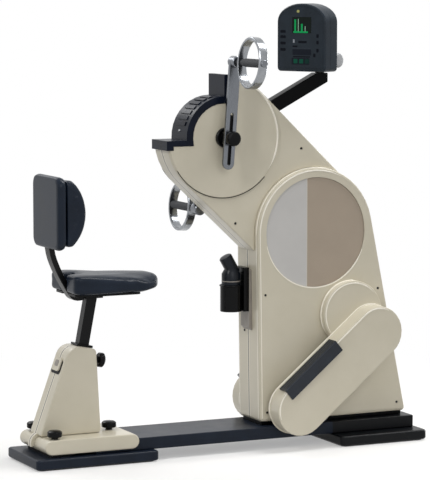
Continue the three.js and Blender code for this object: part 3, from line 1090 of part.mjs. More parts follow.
function seatCarriage() {
  const saddleBottom = railTop - SADDLE_DROP;
  const channelHalf = RAIL_HALF_WIDTH + SADDLE_SIDE_GAP;
  const plateHalf = SADDLE_HALF_WIDTH - 2 * SADDLE_WALL;
  const radius = (saddleTop - saddleBottom) / 2;
  const plateRear = SADDLE_REAR_X + radius + SEAT_GAP;
  const plateFront = SADDLE_FRONT_X - radius - SEAT_GAP;
  const runnerEnd = plateRear + RUNNER_LENGTH;
  const sleeveHalf = POST_WIDTH / 2 + SLEEVE_GAP + SLEEVE_WALL;
  const boreHalf = POST_WIDTH / 2 + SLEEVE_GAP;
  const screwBores = knobPlaces().map(([, x, y]) =>
    hole('z', x, y, KNOB_SCREW_RADIUS + SEAT_GAP, plateTop - OVERRUN, saddleTop + OVERRUN));

  const cover = slab('y', saddleOutline(0), -SADDLE_HALF_WIDTH, SADDLE_HALF_WIDTH, SADDLE_BEVEL);
  const room = slab('y', saddleOutline(SADDLE_WALL), -channelHalf, channelHalf);
  const mouth = block(SADDLE_REAR_X + radius, SADDLE_FRONT_X + OVERRUN, -channelHalf, channelHalf,
    saddleBottom - OVERRUN, railTop + SADDLE_SIDE_GAP);
  const sleeveHole = placed(block(-sleeveHalf - SEAT_GAP, sleeveHalf + SEAT_GAP, -sleeveHalf - SEAT_GAP,
    sleeveHalf + SEAT_GAP, -2 * SADDLE_WALL, 2 * SADDLE_WALL), postPlace);
  carriagePiece('carriage_saddle', cut(cover, room, mouth, sleeveHole, ...screwBores), creamShell);

  const sleeve = cut(postBar(sleeveHalf, -SADDLE_WALL, SLEEVE_TOP), postBar(boreHalf, 0, SLEEVE_TOP + OVERRUN));
  const framePlate = block(plateRear, plateFront, -plateHalf, plateHalf, linerTop + SEAT_GAP, frameTop);
  const runner = block(plateRear, runnerEnd, -plateHalf, plateHalf, plateTop + SEAT_GAP, frameTop);
  carriagePiece('carriage_frame', cut(union(framePlate, runner, sleeve), ...screwBores,
    heightKnobBore(KNOB_SCREW_RADIUS + SEAT_GAP, 0, 2 * sleeveHalf)), steel);

  const liner = block(runnerEnd + SEAT_GAP, plateFront, -plateHalf, plateHalf, railTop + SEAT_GAP, linerTop);
  carriagePiece('glide_liner', cut(liner, ...screwBores), greyPlastic);

  for (const [name, x, y, screwEnd] of knobPlaces()) {
    carriagePiece(name, mushroom('z', x, y, screwEnd + SEAT_GAP, saddleTop + SEAT_GAP), blackPlastic);
  }

  const outer = union(slab('y', pedestalOutline(0), -PEDESTAL_HALF_WIDTH, PEDESTAL_HALF_WIDTH, PEDESTAL_EDGE),
    pedestalTongue());
  const innerHalf = PEDESTAL_HALF_WIDTH - SHELL_WALL;
  const hollow = slab('y', pedestalOutline(SHELL_WALL), -innerHalf, innerHalf);
  const passages = [postBar(sleeveHalf + SEAT_GAP, -SADDLE_WALL, SLEEVE_TOP + SEAT_GAP),
    postBar(boreHalf, 0, 2 * SLEEVE_TOP),
    heightKnobBore(KNOB_STEM_RADIUS + SEAT_GAP, 0, 2 * HEIGHT_KNOB_STANDOFF)];
  const shell = cut(outer, hollow, ...passages);
  for (const [name, side] of SIDES) {
    carriagePiece(`pedestal_shell_${name}`, shell.intersect(sideHalf(side)), creamShell);
  }
  const collarHalf = COLLAR_WIDTH / 2;
  carriagePiece('post_collar', cut(postBar(collarHalf, COLLAR_PLANE + SEAT_GAP, COLLAR_PLANE + COLLAR_THICKNESS),
    postBar(boreHalf, 0, 2 * SLEEVE_TOP)), blackPlastic);
  const heightKnob = mushroom('x', 0, HEIGHT_KNOB_LEVEL, POST_WIDTH / 2 + SEAT_GAP, HEIGHT_KNOB_STANDOFF);
  carriagePiece('height_knob', placed(heightKnob, postPlace), blackPlastic);
}

// Seat on its post, backrest bar and backrest
function seatOutline() {
  const rear = SEAT_REAR_X + SEAT_REAR_CORNER;
  const side = SEAT_HALF_WIDTH - SEAT_REAR_CORNER;
  const nose = SEAT_FRONT_X - SEAT_NOSE_RADIUS;
  const noseSide = SEAT_HALF_WIDTH - SEAT_NOSE_RADIUS;
  return fixedBelt([[rear, -side, SEAT_REAR_CORNER], [nose, -noseSide, SEAT_NOSE_RADIUS],
    [nose, noseSide, SEAT_NOSE_RADIUS], [rear, side, SEAT_REAR_CORNER]], SEAT_OUTLINE_STEPS);
}

// A belt of equal quarter turns, each with the same number of steps
function fixedBelt(circles, steps) {
  return circles.flatMap(([x, y, radius], corner) => Array.from({ length: steps + 1 }, (_, i) => {
    const angle = Math.PI + Math.PI / 2 * (corner + i / steps);
    return new THREE.Vector2(x + radius * Math.cos(angle), y + radius * Math.sin(angle));
  }));
}

function backBarOutline(margin) {
  const half = BACK_BAR_THICKNESS / 2 + margin;
  const runZ = SEAT_BOTTOM_Z - SEAT_GAP - BACK_BAR_THICKNESS / 2;
  const socketRear = seatSocketRear();
  const topX = BACKREST_REAR_X + BACKREST_BOARD / 2;
  const curve = new THREE.SplineCurve([
    new THREE.Vector2(socketRear - SEAT_GAP, runZ),
    new THREE.Vector2(socketRear - BACK_BAR_RUN, runZ),
    ...BACK_BAR_BENDS.map(([x, z]) => new THREE.Vector2(x, z)),
    new THREE.Vector2(topX, BACKREST_BOTTOM_Z),
    new THREE.Vector2(topX, BACKREST_BOTTOM_Z + BACK_BAR_INSERTION + margin),
  ]);
  const left = [];
  const right = [];
  for (let i = 0; i <= BACK_BAR_STEPS; i++) {
    const point = curve.getPoint(i / BACK_BAR_STEPS);
    const along = curve.getTangent(i / BACK_BAR_STEPS);
    const normal = new THREE.Vector2(-along.y, along.x);
    left.push(point.clone().addScaledVector(normal, half));
    right.push(point.clone().addScaledVector(normal, -half));
  }
  return [...left, ...right.reverse()];
}

function seatSocketRear() {
  return postX(SEAT_BOTTOM_Z) - POST_WIDTH / 2 - SEAT_SOCKET_MARGIN;
}

function postX(z) {
  return POST_FOOT_X + (z - saddleTop) * Math.tan(THREE.MathUtils.degToRad(POST_LEAN_DEG));
}

function seatGroup() {
  const postHalf = POST_WIDTH / 2;
  const postBottom = SLEEVE_TOP - POST_INSERTION;
  const above = block(SEAT_REAR_X, SEAT_FRONT_X, -SEAT_HALF_WIDTH, SEAT_HALF_WIDTH,
    SEAT_BOTTOM_Z - SEAT_GAP, SEAT_BOTTOM_Z + SLEEVE_TOP);
  const longPost = postBar(postHalf, postBottom, 2 * SLEEVE_TOP);
  const postBore = postBar(postHalf - POST_WALL, postBottom - OVERRUN, 2 * SLEEVE_TOP + OVERRUN);
  carriagePiece('seat_post', cut(longPost, postBore, above), blackPlastic);

  const panTop = SEAT_BOTTOM_Z + SEAT_PAN_THICKNESS;
  const plate = slab('z', rectangle(SEAT_PAN_REAR_X, -SEAT_PAN_HALF_WIDTH, SEAT_PAN_FRONT_X, SEAT_PAN_HALF_WIDTH,
    SEAT_PAN_CORNER), SEAT_BOTTOM_Z, panTop);
  const socketX = postX(SEAT_BOTTOM_Z);
  const socketHalf = postHalf + SEAT_SOCKET_MARGIN;
  const socket = block(socketX - socketHalf, socketX + socketHalf, -socketHalf, socketHalf,
    SEAT_BOTTOM_Z - SEAT_SOCKET_DEPTH, SEAT_BOTTOM_Z + SEAT_PAN_THICKNESS / 2);
  const notch = block(SEAT_REAR_X - OVERRUN, SEAT_REAR_X + SEAT_NOTCH_DEPTH, -BACK_BAR_HALF_WIDTH - OVERRUN,
    BACK_BAR_HALF_WIDTH + OVERRUN, SEAT_BOTTOM_Z - OVERRUN, SEAT_BOTTOM_Z + 2 * SEAT_HEIGHT);
  const postRoom = cut(postBar(postHalf + SEAT_GAP, postBottom, 2 * SLEEVE_TOP), above);
  carriagePiece('seat_pan', cut(union(plate, socket), postRoom, notch), blackPlastic);

  const cushionBottom = panTop + SEAT_GAP;
  const length = SEAT_FRONT_X - SEAT_REAR_X;
  const lift = (x, y, level) => {
    const along = (x - SEAT_REAR_X) / length;
    const nose = Math.max(0, (along - SEAT_NOSE_START_SHARE) / (1 - SEAT_NOSE_START_SHARE)) ** 2;
    const thigh = THREE.MathUtils.clamp((along - SEAT_THIGH_START_SHARE) / SEAT_THIGH_RUN_SHARE, 0, 1);
    const bottom = cushionBottom + SEAT_NOSE_LIFT * nose;
    const dish = SEAT_DISH * Math.sin(Math.PI * along);
    const sideDrop = SEAT_THIGH_DROP * thigh * (y / SEAT_HALF_WIDTH) ** 2;
    const top = cushionBottom + SEAT_HEIGHT - dish - sideDrop - SEAT_NOSE_DROP * nose;
    return new THREE.Vector3(x, y, bottom + level * (top - bottom));
  };
  const middle = new THREE.Vector2((SEAT_REAR_X + SEAT_FRONT_X) / 2, 0);
  carriagePiece('seat_cushion', cut(padded(seatOutline(), middle, SEAT_LEVEL_SHARES, lift), notch), vinyl);

  const bar = slab('y', backBarOutline(0), -BACK_BAR_HALF_WIDTH, BACK_BAR_HALF_WIDTH);
  const barRoom = slab('y', backBarOutline(SEAT_GAP), -BACK_BAR_HALF_WIDTH - SEAT_GAP, BACK_BAR_HALF_WIDTH + SEAT_GAP);
  carriagePiece('back_bar', bar, blackPlastic);

  const boardFace = BACKREST_REAR_X + BACKREST_BOARD;
  const boardOutline = rectangle(-BACKREST_HALF_WIDTH, BACKREST_BOTTOM_Z, BACKREST_HALF_WIDTH, BACKREST_TOP_Z,
    BACKREST_CORNER);
  const board = slab('x', boardOutline, BACKREST_REAR_X, boardFace, BACKREST_BOARD_BEVEL);
  carriagePiece('backrest_board', cut(board, barRoom), slatePlastic);

  const middleZ = (BACKREST_BOTTOM_Z + BACKREST_TOP_Z) / 2;
  const halfHeight = (BACKREST_TOP_Z - BACKREST_BOTTOM_Z) / 2 - BACKREST_PAD_MARGIN;
  const padBack = boardFace + SEAT_GAP;
  const radius = (halfHeight ** 2 + BACKREST_PAD_BULGE ** 2) / (2 * BACKREST_PAD_BULGE);
  const half = Math.asin(halfHeight / radius);
  const padOutline = [new THREE.Vector2(padBack, middleZ - halfHeight),
    ...arc(padBack + BACKREST_PAD_EDGE + BACKREST_PAD_BULGE - radius, middleZ, radius, -half, half),
    new THREE.Vector2(padBack, middleZ + halfHeight)];
  const spread = (x, z, level) => new THREE.Vector3(x, (2 * level - 1) * BACKREST_HALF_WIDTH, z);
  const padCentre = new THREE.Vector2(padBack + BACKREST_PAD_EDGE / 2, middleZ);
  carriagePiece('backrest_pad', padded(padOutline, padCentre, BACKREST_WIDTH_SHARES, spread), vinyl);
}

base();
bodyCovers();
neckCovers();
quarterCover();
chordError = INNER_CHORD_ERROR;
frameSpine();
drive();
brakeYoke();
chordError = CHORD_ERROR;
cranks();
footrests();
consoleGroup();
bottleGroup();
seatCarriage();
seatGroup();

export default ergometer;
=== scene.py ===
"""Looks of an arm ergometer: cream covers, a dark base, chromed cranks and a padded seat."""

import json
import math

import bmesh
import bpy
import numpy as np
from mathutils import Matrix, Vector


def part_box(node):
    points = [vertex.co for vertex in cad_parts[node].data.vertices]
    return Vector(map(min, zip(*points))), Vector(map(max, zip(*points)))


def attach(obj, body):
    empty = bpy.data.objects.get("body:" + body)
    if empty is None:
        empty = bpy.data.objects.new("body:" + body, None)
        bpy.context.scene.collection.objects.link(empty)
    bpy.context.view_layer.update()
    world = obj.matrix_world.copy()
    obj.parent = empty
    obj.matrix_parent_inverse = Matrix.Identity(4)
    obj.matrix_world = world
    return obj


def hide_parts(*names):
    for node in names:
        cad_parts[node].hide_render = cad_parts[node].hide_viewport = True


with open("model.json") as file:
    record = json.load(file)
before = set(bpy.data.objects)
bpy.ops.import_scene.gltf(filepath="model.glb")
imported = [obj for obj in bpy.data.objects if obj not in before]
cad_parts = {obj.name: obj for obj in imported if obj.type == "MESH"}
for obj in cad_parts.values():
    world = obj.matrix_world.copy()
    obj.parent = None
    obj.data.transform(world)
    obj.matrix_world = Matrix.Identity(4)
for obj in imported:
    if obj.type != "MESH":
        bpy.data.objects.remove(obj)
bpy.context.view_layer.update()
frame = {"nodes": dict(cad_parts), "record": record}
scene = bpy.context.scene
MM = 0.001

# The photograph's view: where the camera stood, and which way it looked
VIEW_TURN = -0.4391
VIEW_DROP = 0.1053
VIEW_PLACE = Vector((-3.842, -8.1488, 1.7081))
FOCAL_PIXELS = 2524.86
PHOTO_HEIGHT = 480
SENSOR_MM = 36.0
CAMERA_REACH = 100.0

# Places on the machine in millimetres: X from the seat to the body, Z up from the floor, and for
# a face its distance from the centre plane
DRUM_X, DRUM_Z = -9, 1128
PANEL_X, PANEL_Z = 347, 777
BOSS_X, BOSS_Z = 483, 477
FOOTREST_ENDS = ((240, 151), (553, 412))
BODY_FOOT_CORNERS = ((136, 110.5, 13), (708, 110.5, 13))
BODY_FACE, NECK_FACE = 88, 61
BOTTLE_X = 48.7
LATCH_X, LATCH_Z = -613, 363
FRONT_END_X = 404
PANEL_DIVISION_X = 312
SIDES = (("near", -1), ("far", 1))

# How far some of its pieces lean
CRANK_LEAN = math.radians(4.2)
QUARTER_COVER_TILT = math.radians(10)
PEDESTAL_SLOPE = math.atan2(252.2, 96)


def place_camera():
    """A camera with the photograph's direction and distance."""
    across, deep = math.cos(VIEW_TURN), math.sin(VIEW_TURN)
    level, drop = math.cos(VIEW_DROP), math.sin(VIEW_DROP)
    right = Vector((across, deep, 0.0))
    back = Vector((deep * level, -across * level, drop))
    up = back.cross(right)
    facing = Matrix((right, up, back)).transposed().to_4x4()
    camera = bpy.data.objects.new("camera", bpy.data.cameras.new("camera"))
    camera.matrix_world = Matrix.Translation(VIEW_PLACE) @ facing
    camera.data.sensor_width = SENSOR_MM
    camera.data.lens = FOCAL_PIXELS / PHOTO_HEIGHT * SENSOR_MM
    camera.data.clip_end = CAMERA_REACH
    scene.collection.objects.link(camera)
    scene.camera = camera


# ---- Materials ----
# Half the widths of the bands of colour that cross a surface
SEAM_HIGHLIGHT_HALF_MM = 9
SEAM_SHADOW_HALF_MM = 2.6
END_HALF_MM = 500
PANEL_HALF_MM = 250
DIVISION_HALF_MM = 1.2
# Sizes of the surfaces' fine patterns
PLASTIC_GRAIN_MM = 0.9
BRUSH_MM = 0.8
BRUSH_STRETCH = 0.03
SKIN_PEBBLE_MM = 2.4


def linear(hex_colour):
    """An sRGB hex colour as linear red, green, blue and 1."""
    parts = [int(hex_colour[i:i + 2], 16) / 255 for i in (1, 3, 5)]
    return tuple(c / 12.92 if c <= 0.04045 else ((c + 0.055) / 1.055) ** 2.4
                 for c in parts) + (1.0,)


def add(tree, kind, settings=None, links=None):
    """Adds a node: a setting is one of its properties or an input's value, and a link joins an
    input to an output."""
    node = tree.nodes.new(kind)
    for name, value in (settings or {}).items():
        if isinstance(name, str) and hasattr(node, name):
            setattr(node, name, value)
        else:
            node.inputs[name].default_value = value
    for name, output in (links or {}).items():
        tree.links.new(output, node.inputs[name])
    return node


def start_material(name, settings):
    """A material with its shader set, and its tree, its shader and the piece's own coordinates."""
    material = bpy.data.materials.new(name)
    material.use_nodes = True
    tree = material.node_tree
    tree.nodes.clear()
    shader = add(tree, "ShaderNodeBsdfPrincipled", settings)
    add(tree, "ShaderNodeOutputMaterial", links={"Surface": shader.outputs["BSDF"]})
    coords = add(tree, "ShaderNodeTexCoord").outputs["Object"]
    return material, tree, shader, coords


def mottle(tree, shader, coords, colours, size_mm, roughness, relief):
    """Soft clouds of two close colours, a roughness that drifts between two values, and a fine
    skin, whose relief is its grain and its depth in millimetres and its strength."""
    cloud = add(tree, "ShaderNodeTexNoise",
                {"Scale": 1 / (size_mm * MM), "Detail": 4.0, "Roughness": 0.55}, {"Vector": coords})
    ramp = add(tree, "ShaderNodeValToRGB", links={"Fac": cloud.outputs["Fac"]})
    for element, position, colour in zip(ramp.color_ramp.elements, (0.3, 0.7), colours):
        element.position = position
        element.color = linear(colour)
    tree.links.new(ramp.outputs["Color"], shader.inputs["Base Color"])
    gloss = add(tree, "ShaderNodeMapRange", {"To Min": roughness[0], "To Max": roughness[1]},
                {"Value": cloud.outputs["Fac"]})
    tree.links.new(gloss.outputs["Result"], shader.inputs["Roughness"])
    grain_mm, depth_mm, strength = relief
    grain = add(tree, "ShaderNodeTexNoise", {"Scale": 1 / (grain_mm * MM), "Detail": 2.0},
                {"Vector": coords})
    bump = add(tree, "ShaderNodeBump", {"Strength": strength, "Distance": depth_mm * MM},
               {"Height": grain.outputs["Fac"]})
    tree.links.new(bump.outputs["Normal"], shader.inputs["Normal"])
    return ramp.outputs["Color"], bump.outputs["Normal"]


def band(tree, coords, axis, centre_mm, half_mm):
    """One inside a band across an axis, and nothing outside it."""
    along = add(tree, "ShaderNodeSeparateXYZ", links={"Vector": coords}).outputs[axis]
    off = add(tree, "ShaderNodeMath", {"operation": "SUBTRACT", 1: centre_mm * MM}, {0: along})
    away = add(tree, "ShaderNodeMath", {"operation": "ABSOLUTE"}, {0: off.outputs["Value"]})
    inside = add(tree, "ShaderNodeMath", {"operation": "LESS_THAN", 1: half_mm * MM},
                 {0: away.outputs["Value"]})
    return inside.outputs["Value"]


def paint_over(tree, under, where, colour):
    """Lays a colour over another one where a mask is one."""
    mixed = add(tree, "ShaderNodeMixRGB", {"Color2": linear(colour)},
                {"Fac": where, "Color1": under})
    return mixed.outputs["Color"]


def gelcoat(name, seam_highlight_and_shadow):
    """Polyester gelcoat on glass-fibre covers: warm cream, a soft gloss and the faint ripple of a
    hand-laid mould. Where the two halves of a cover meet on the centre plane, a dark band paints
    the seam's shadow and pale bands either side paint the highlight on its rounded edges; both are
    drawn as wide as they must be to show."""
    material, tree, shader, coords = start_material(
        name, {"Coat Weight": 0.35, "Coat Roughness": 0.14, "Specular IOR Level": 0.3})
    cream, _ = mottle(tree, shader, coords, ("#cdc6b2", "#d4cdba"), 160, (0.32, 0.42),
                      (9, 0.25, 0.1))
    if seam_highlight_and_shadow:
        # Painted highlight: pale bands either side of the seam. Painted shadow: the dark band on
        # the seam.
        highlight_lips = paint_over(tree, cream, band(tree, coords, "Y", 0, SEAM_HIGHLIGHT_HALF_MM), "#e2dccb")
        joint_shadow = paint_over(tree, highlight_lips, band(tree, coords, "Y", 0, SEAM_SHADOW_HALF_MM), "#4f483d")
        tree.links.new(joint_shadow, shader.inputs["Base Color"])
    return material


def painted_highlight_gelcoat():
    """Gelcoat for the thin rounded beads round the covers: paler and glossier than broad faces, so
    that they paint bright highlights.
    """
    material, tree, shader, coords = start_material(
        "gelcoat_with_painted_highlight", {"Coat Weight": 0.6, "Coat Roughness": 0.12})
    mottle(tree, shader, coords, ("#f6f0e1", "#fcf7ea"), 90, (0.3, 0.4), (9, 0.2, 0.1))
    return material


def powder_coat(name, colours, roughness, front=None):
    """Powder-coated steel: a tight orange-peel skin with slow drifts of colour and gloss. Where a
    front colour is given, the end of the machine under the body is darkened to that colour instead:
    painted shade under the body."""
    material, tree, shader, coords = start_material(name, {"Specular IOR Level": 0.15})
    paint, _ = mottle(tree, shader, coords, colours, 60, roughness, (2.2, 0.12, 0.35))
    if front:
        # Painted shade: the steel under the body is darkened to the front colour.
        shade_under_body = band(tree, coords, "X", FRONT_END_X + END_HALF_MM, END_HALF_MM)
        tree.links.new(paint_over(tree, paint, shade_under_body, front), shader.inputs["Base Color"])
    return material


def moulded(name, colours, roughness, shine=0.2):
    """Injection-moulded plastic: the matt grain of an eroded tool, drawn coarser than it is so that
    it shows close up, with slow drifts of gloss from handling."""
    material, tree, shader, coords = start_material(name, {"Specular IOR Level": shine})
    mottle(tree, shader, coords, colours, 45, roughness, (PLASTIC_GRAIN_MM, 0.04, 0.12))
    return material


def polished_chrome():
    """Chrome plate: bright and mirror-like, with faint polishing swirls."""
    material, tree, shader, coords = start_material("chrome_plate", {"Metallic": 1.0})
    mottle(tree, shader, coords, ("#85888c", "#9a9da1"), 30, (0.15, 0.25), (14, 0.06, 0.08))
    return material


def satin_chrome():
    """Satin chrome on the crank bars: fine brushing along the bar stretches the highlights."""
    material, tree, shader, coords = start_material("satin_chrome", {"Metallic": 1.0})
    stretch = add(tree, "ShaderNodeMapping", {"Scale": (1.0, 1.0, BRUSH_STRETCH)},
                  {"Vector": coords})
    brush = add(tree, "ShaderNodeTexNoise", {"Scale": 1 / (BRUSH_MM * MM), "Detail": 3.0},
                {"Vector": stretch.outputs["Vector"]})
    ramp = add(tree, "ShaderNodeValToRGB", links={"Fac": brush.outputs["Fac"]})
    for element, colour in zip(ramp.color_ramp.elements, ("#63666b", "#7d8085")):
        element.color = linear(colour)
    tree.links.new(ramp.outputs["Color"], shader.inputs["Base Color"])
    gloss = add(tree, "ShaderNodeMapRange", {"To Min": 0.2, "To Max": 0.34},
                {"Value": brush.outputs["Fac"]})
    tree.links.new(gloss.outputs["Result"], shader.inputs["Roughness"])
    bump = add(tree, "ShaderNodeBump", {"Strength": 0.15, "Distance": 0.05 * MM},
               {"Height": brush.outputs["Fac"]})
    tree.links.new(bump.outputs["Normal"], shader.inputs["Normal"])
    return material


def bare_metal(name, colours, roughness):
    """Turned, rolled or plated steel and iron without paint: a skin of faint tool marks."""
    material, tree, shader, coords = start_material(name, {"Metallic": 1.0})
    mottle(tree, shader, coords, colours, 25, roughness, (1.5, 0.1, 0.4))
    return material


def rubber(name, colours):
    """Vulcanised or foamed rubber: dark, dull and slightly pebbled."""
    material, tree, shader, coords = start_material(name, {"IOR": 1.45})
    mottle(tree, shader, coords, colours, 20, (0.7, 0.85), (1.2, 0.15, 0.5))
    return material


def integral_skin_foam(name):
    """Self-skinned polyurethane foam: slate blue, a leathery pebble and a soft sheen along every
    edge. The pebble is drawn coarser than it is, so that it shows."""
    material, tree, shader, coords = start_material(
        name, {"Coat Weight": 0.1, "Coat Roughness": 0.12, "Specular IOR Level": 0.12})
    pebble = add(tree, "ShaderNodeTexVoronoi",
                 {"feature": "SMOOTH_F1", "Scale": 1 / (SKIN_PEBBLE_MM * MM)}, {"Vector": coords})
    _, fine = mottle(tree, shader, coords, ("#121b28", "#192331"), 90, (0.3, 0.4), (1.3, 0.1, 0.2))
    skin = add(tree, "ShaderNodeBump", {"Strength": 0.22, "Distance": 0.2 * MM},
               {"Height": pebble.outputs["Distance"], "Normal": fine})
    tree.links.new(skin.outputs["Normal"], shader.inputs["Normal"])
    return material


def printed_panel():
    """Screen-printed polycarbonate: a warm grey half, a taupe half and a thin pale line between."""
    material, tree, shader, coords = start_material(
        "screen_printed_panel", {"Coat Weight": 0.2, "Coat Roughness": 0.2})
    grey, _ = mottle(tree, shader, coords, ("#c2c0bd", "#c8c6c3"), 120, (0.4, 0.48),
                     (1.6, 0.05, 0.2))
    taupe_half = band(tree, coords, "X", PANEL_DIVISION_X + PANEL_HALF_MM, PANEL_HALF_MM)
    taupe = add(tree, "ShaderNodeMixRGB",
                {"blend_type": "MULTIPLY", "Fac": 1.0, "Color2": linear("#d6c6b3")},
                {"Color1": grey})
    halves = add(tree, "ShaderNodeMixRGB",
                 links={"Fac": taupe_half, "Color1": grey, "Color2": taupe.outputs["Color"]})
    division = band(tree, coords, "X", PANEL_DIVISION_X, DIVISION_HALF_MM)
    ruled = paint_over(tree, halves.outputs["Color"], division, "#cfcabd")
    tree.links.new(ruled, shader.inputs["Base Color"])
    return material


def display_lens():
    """Smoked acrylic over the display: near black, glossy and flat."""
    material, tree, shader, coords = start_material(
        "smoked_acrylic", {"Coat Weight": 0.05, "Coat Roughness": 0.04, "Specular IOR Level": 0.08})
    mottle(tree, shader, coords, ("#07120e", "#0a1712"), 30, (0.12, 0.18), (6, 0.02, 0.05))
    return material


def print_ink(name, colour, glow=0.0):
    """Ink or a lit segment on the key overlay: flat colour with the film's own slight mottle."""
    material, tree, shader, coords = start_material(
        name, {"Emission Color": linear(colour), "Emission Strength": glow,
               "Specular IOR Level": 0.05})
    mottle(tree, shader, coords, (colour, colour), 12, (0.35, 0.45), (1.0, 0.03, 0.2))
    return material


FINISHES = {
    "cream_shell": gelcoat("gelcoat_glass_fibre_halves", True),
    "cream_whole": gelcoat("gelcoat_glass_fibre", False),
    # Pale gelcoat that paints the highlights along rounded edges.
    "cream_painted_highlight": painted_highlight_gelcoat(),
    # The last colour is painted shade on the steel under the body.
    "navy_paint": powder_coat("powder_coated_steel_navy", ("#141b26", "#19212e"), (0.3, 0.42),
                              "#07090c"),
    "black_metal": powder_coat("powder_coated_steel_black", ("#060708", "#0b0c0e"), (0.22, 0.32)),
    "black_plastic": moulded("moulded_nylon_black", ("#060607", "#0a0b0c"), (0.2, 0.3), 0.12),
    "quarter_black": moulded("moulded_quarter_cover", ("#0b101c", "#101726"), (0.24, 0.34), 0.1),
    "slate_plastic": moulded("moulded_abs_slate", ("#1f272f", "#252e37"), (0.24, 0.34), 0.14),
    "tread": moulded("moulded_tread_pad", ("#131922", "#19212c"), (0.2, 0.3), 0.35),
    "arm_black": moulded("moulded_console_arm", ("#050506", "#08090a"), (0.24, 0.32), 0.06),
    "grey_plastic": moulded("moulded_abs_grey", ("#a2a4a6", "#adafb1"), (0.34, 0.46), 0.5),
    "warm_grey": moulded("moulded_abs_warm_grey", ("#8d8780", "#979189"), (0.36, 0.48), 0.4),
    "bottle_blue": moulded("blow_moulded_bottle", ("#0d1219", "#131922"), (0.24, 0.34)),
    "panel": printed_panel(),
    "steel": bare_metal("oiled_steel", ("#6f7276", "#84878b"), (0.3, 0.45)),
    "cast_iron": bare_metal("turned_cast_iron", ("#3a3c3f", "#4a4c4f"), (0.4, 0.6)),
    "chrome": polished_chrome(),
    "satin": satin_chrome(),
    "rubber": rubber("vulcanised_rubber", ("#18191b", "#202123")),
    "grip": rubber("foam_rubber_grip", ("#333538", "#3f4144")),
    "lens": display_lens(),
    "vinyl": integral_skin_foam("integral_skin_foam_seat"),
    "vinyl_back": integral_skin_foam("integral_skin_foam_backrest"),
}
INK_GREEN = print_ink("lit_green_segments", "#189a55", 0.12)
INK_PALE = print_ink("lit_pale_segments", "#93b8a0", 0.1)
# The round disc at the console's top is an emblem. Its faint glow is painted light.
INK_GLOWING_EMBLEM = print_ink("glowing_emblem", "#a8a86a", 0.1)
INK_SOFT_KEY = print_ink("green_soft_keys", "#17503f")
INK_FAINT_KEY = print_ink("faint_green_soft_key", "#173530")
INK_DARK = print_ink("dark_key_print", "#0e1119")
INK_LINE = print_ink("grey_key_lines", "#3c424d")
INK_LABEL = print_ink("pale_label", "#9a9fa8")
INK_FIELD = print_ink("dark_key_field", "#1c2029")
SCREW_STEEL = bare_metal("blackened_screw_steel", ("#2b2c2e", "#3a3b3d"), (0.3, 0.45))
BRIGHT_STEEL = bare_metal("zinc_plated_screw_steel", ("#a6a8aa", "#b9bbbd"), (0.22, 0.34))
# Near black that paints shade: behind the crank slots, in the latch recess and under the drum rims.
SHADOW_BLACK = moulded("painted_shade_black", ("#08090a", "#0c0d0f"), (0.5, 0.6))


# ---- Carried-over solids: finish and softened edges ----
# How wide the edges of a solid are rounded, in millimetres
EDGE_MM = {
    "rail_beam": 2.8, "rear_plate": 2.8, "main_foot": 2.8, "plinth": 1.0,
    "body_shell_near": 1.2, "body_shell_far": 1.2, "neck_shell_near": 1.2, "neck_shell_far": 1.2,
    "quarter_cover": 1.5, "console_arm": 2.5, "tread_pad_near": 2.0, "tread_pad_far": 2.0,
    "crank_arm_near": 0.8, "crank_arm_far": 0.8, "bottle_plate": 2.0,
    "carriage_saddle": 1.5, "seat_post": 2.5, "back_bar": 2.5,
}
OTHER_EDGE_MM = 0.6
SOFTEN_FROM_DEG = 34
FLAT_WITHIN_DEG = 0.4

# Solids whose finish differs from the one that their slot names
SOLID_FINISH = {
    "crank_arm_near": "satin", "crank_arm_far": "satin", "backrest_board": "vinyl_back",
    "bottle_plate": "warm_grey", "bottle": "bottle_blue", "quarter_cover": "quarter_black",
    "tread_pad_near": "tread", "tread_pad_far": "tread", "console_arm": "arm_black",
    "plinth": "arm_black", "carriage_saddle": "cream_whole", "footrest_near": "cream_whole",
    "footrest_far": "cream_whole", "carriage_frame": "black_metal",
}


def soften_edges(solid, width_mm):
    """Joins a solid's loose triangles, rounds its sharp edges a little and shades its curves
    smoothly."""
    for face in solid.data.polygons:
        face.use_smooth = True
    weld = solid.modifiers.new("weld", "WELD")
    weld.merge_threshold = 0.01 * MM
    flats = solid.modifiers.new("flats", "DECIMATE")
    flats.decimate_type = "DISSOLVE"
    flats.angle_limit = math.radians(FLAT_WITHIN_DEG)
    edges = solid.modifiers.new("edges", "BEVEL")
    edges.width = width_mm * MM
    edges.segments = 2
    edges.limit_method = "ANGLE"
    edges.angle_limit = math.radians(SOFTEN_FROM_DEG)
    edges.use_clamp_overlap = True
    shading = solid.modifiers.new("shading", "WEIGHTED_NORMAL")
    shading.mode = "FACE_AREA"
    shading.weight = 80


def dress_solids():
    """Gives every carried-over solid its finish and its soft edges."""
    slots = {row["node"]: row["material_slot"] for row in frame["record"]["subparts"]}
    for name, solid in frame["nodes"].items():
        solid.data.materials.clear()
        solid.data.materials.append(FINISHES[SOLID_FINISH.get(name, slots[name])])
        soften_edges(solid, EDGE_MM.get(name, OTHER_EDGE_MM))


# ---- Mesh helpers ----
def turn_out(piece):
    """Points every face of a closed piece outwards."""
    edit = bmesh.new()
    edit.from_mesh(piece.data)
    bmesh.ops.recalc_face_normals(edit, faces=edit.faces)
    edit.to_mesh(piece.data)
    edit.free()


def mesh_piece(name, vertices, faces, material, body):
    """A piece from vertices in metres in the machine's frame, riding on a body."""
    mesh = bpy.data.meshes.new(name)
    mesh.from_pydata([tuple(v) for v in vertices], [], faces)
    mesh.materials.append(material)
    piece = bpy.data.objects.new(name, mesh)
    scene.collection.objects.link(piece)
    turn_out(piece)
    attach(piece, body)
    return piece


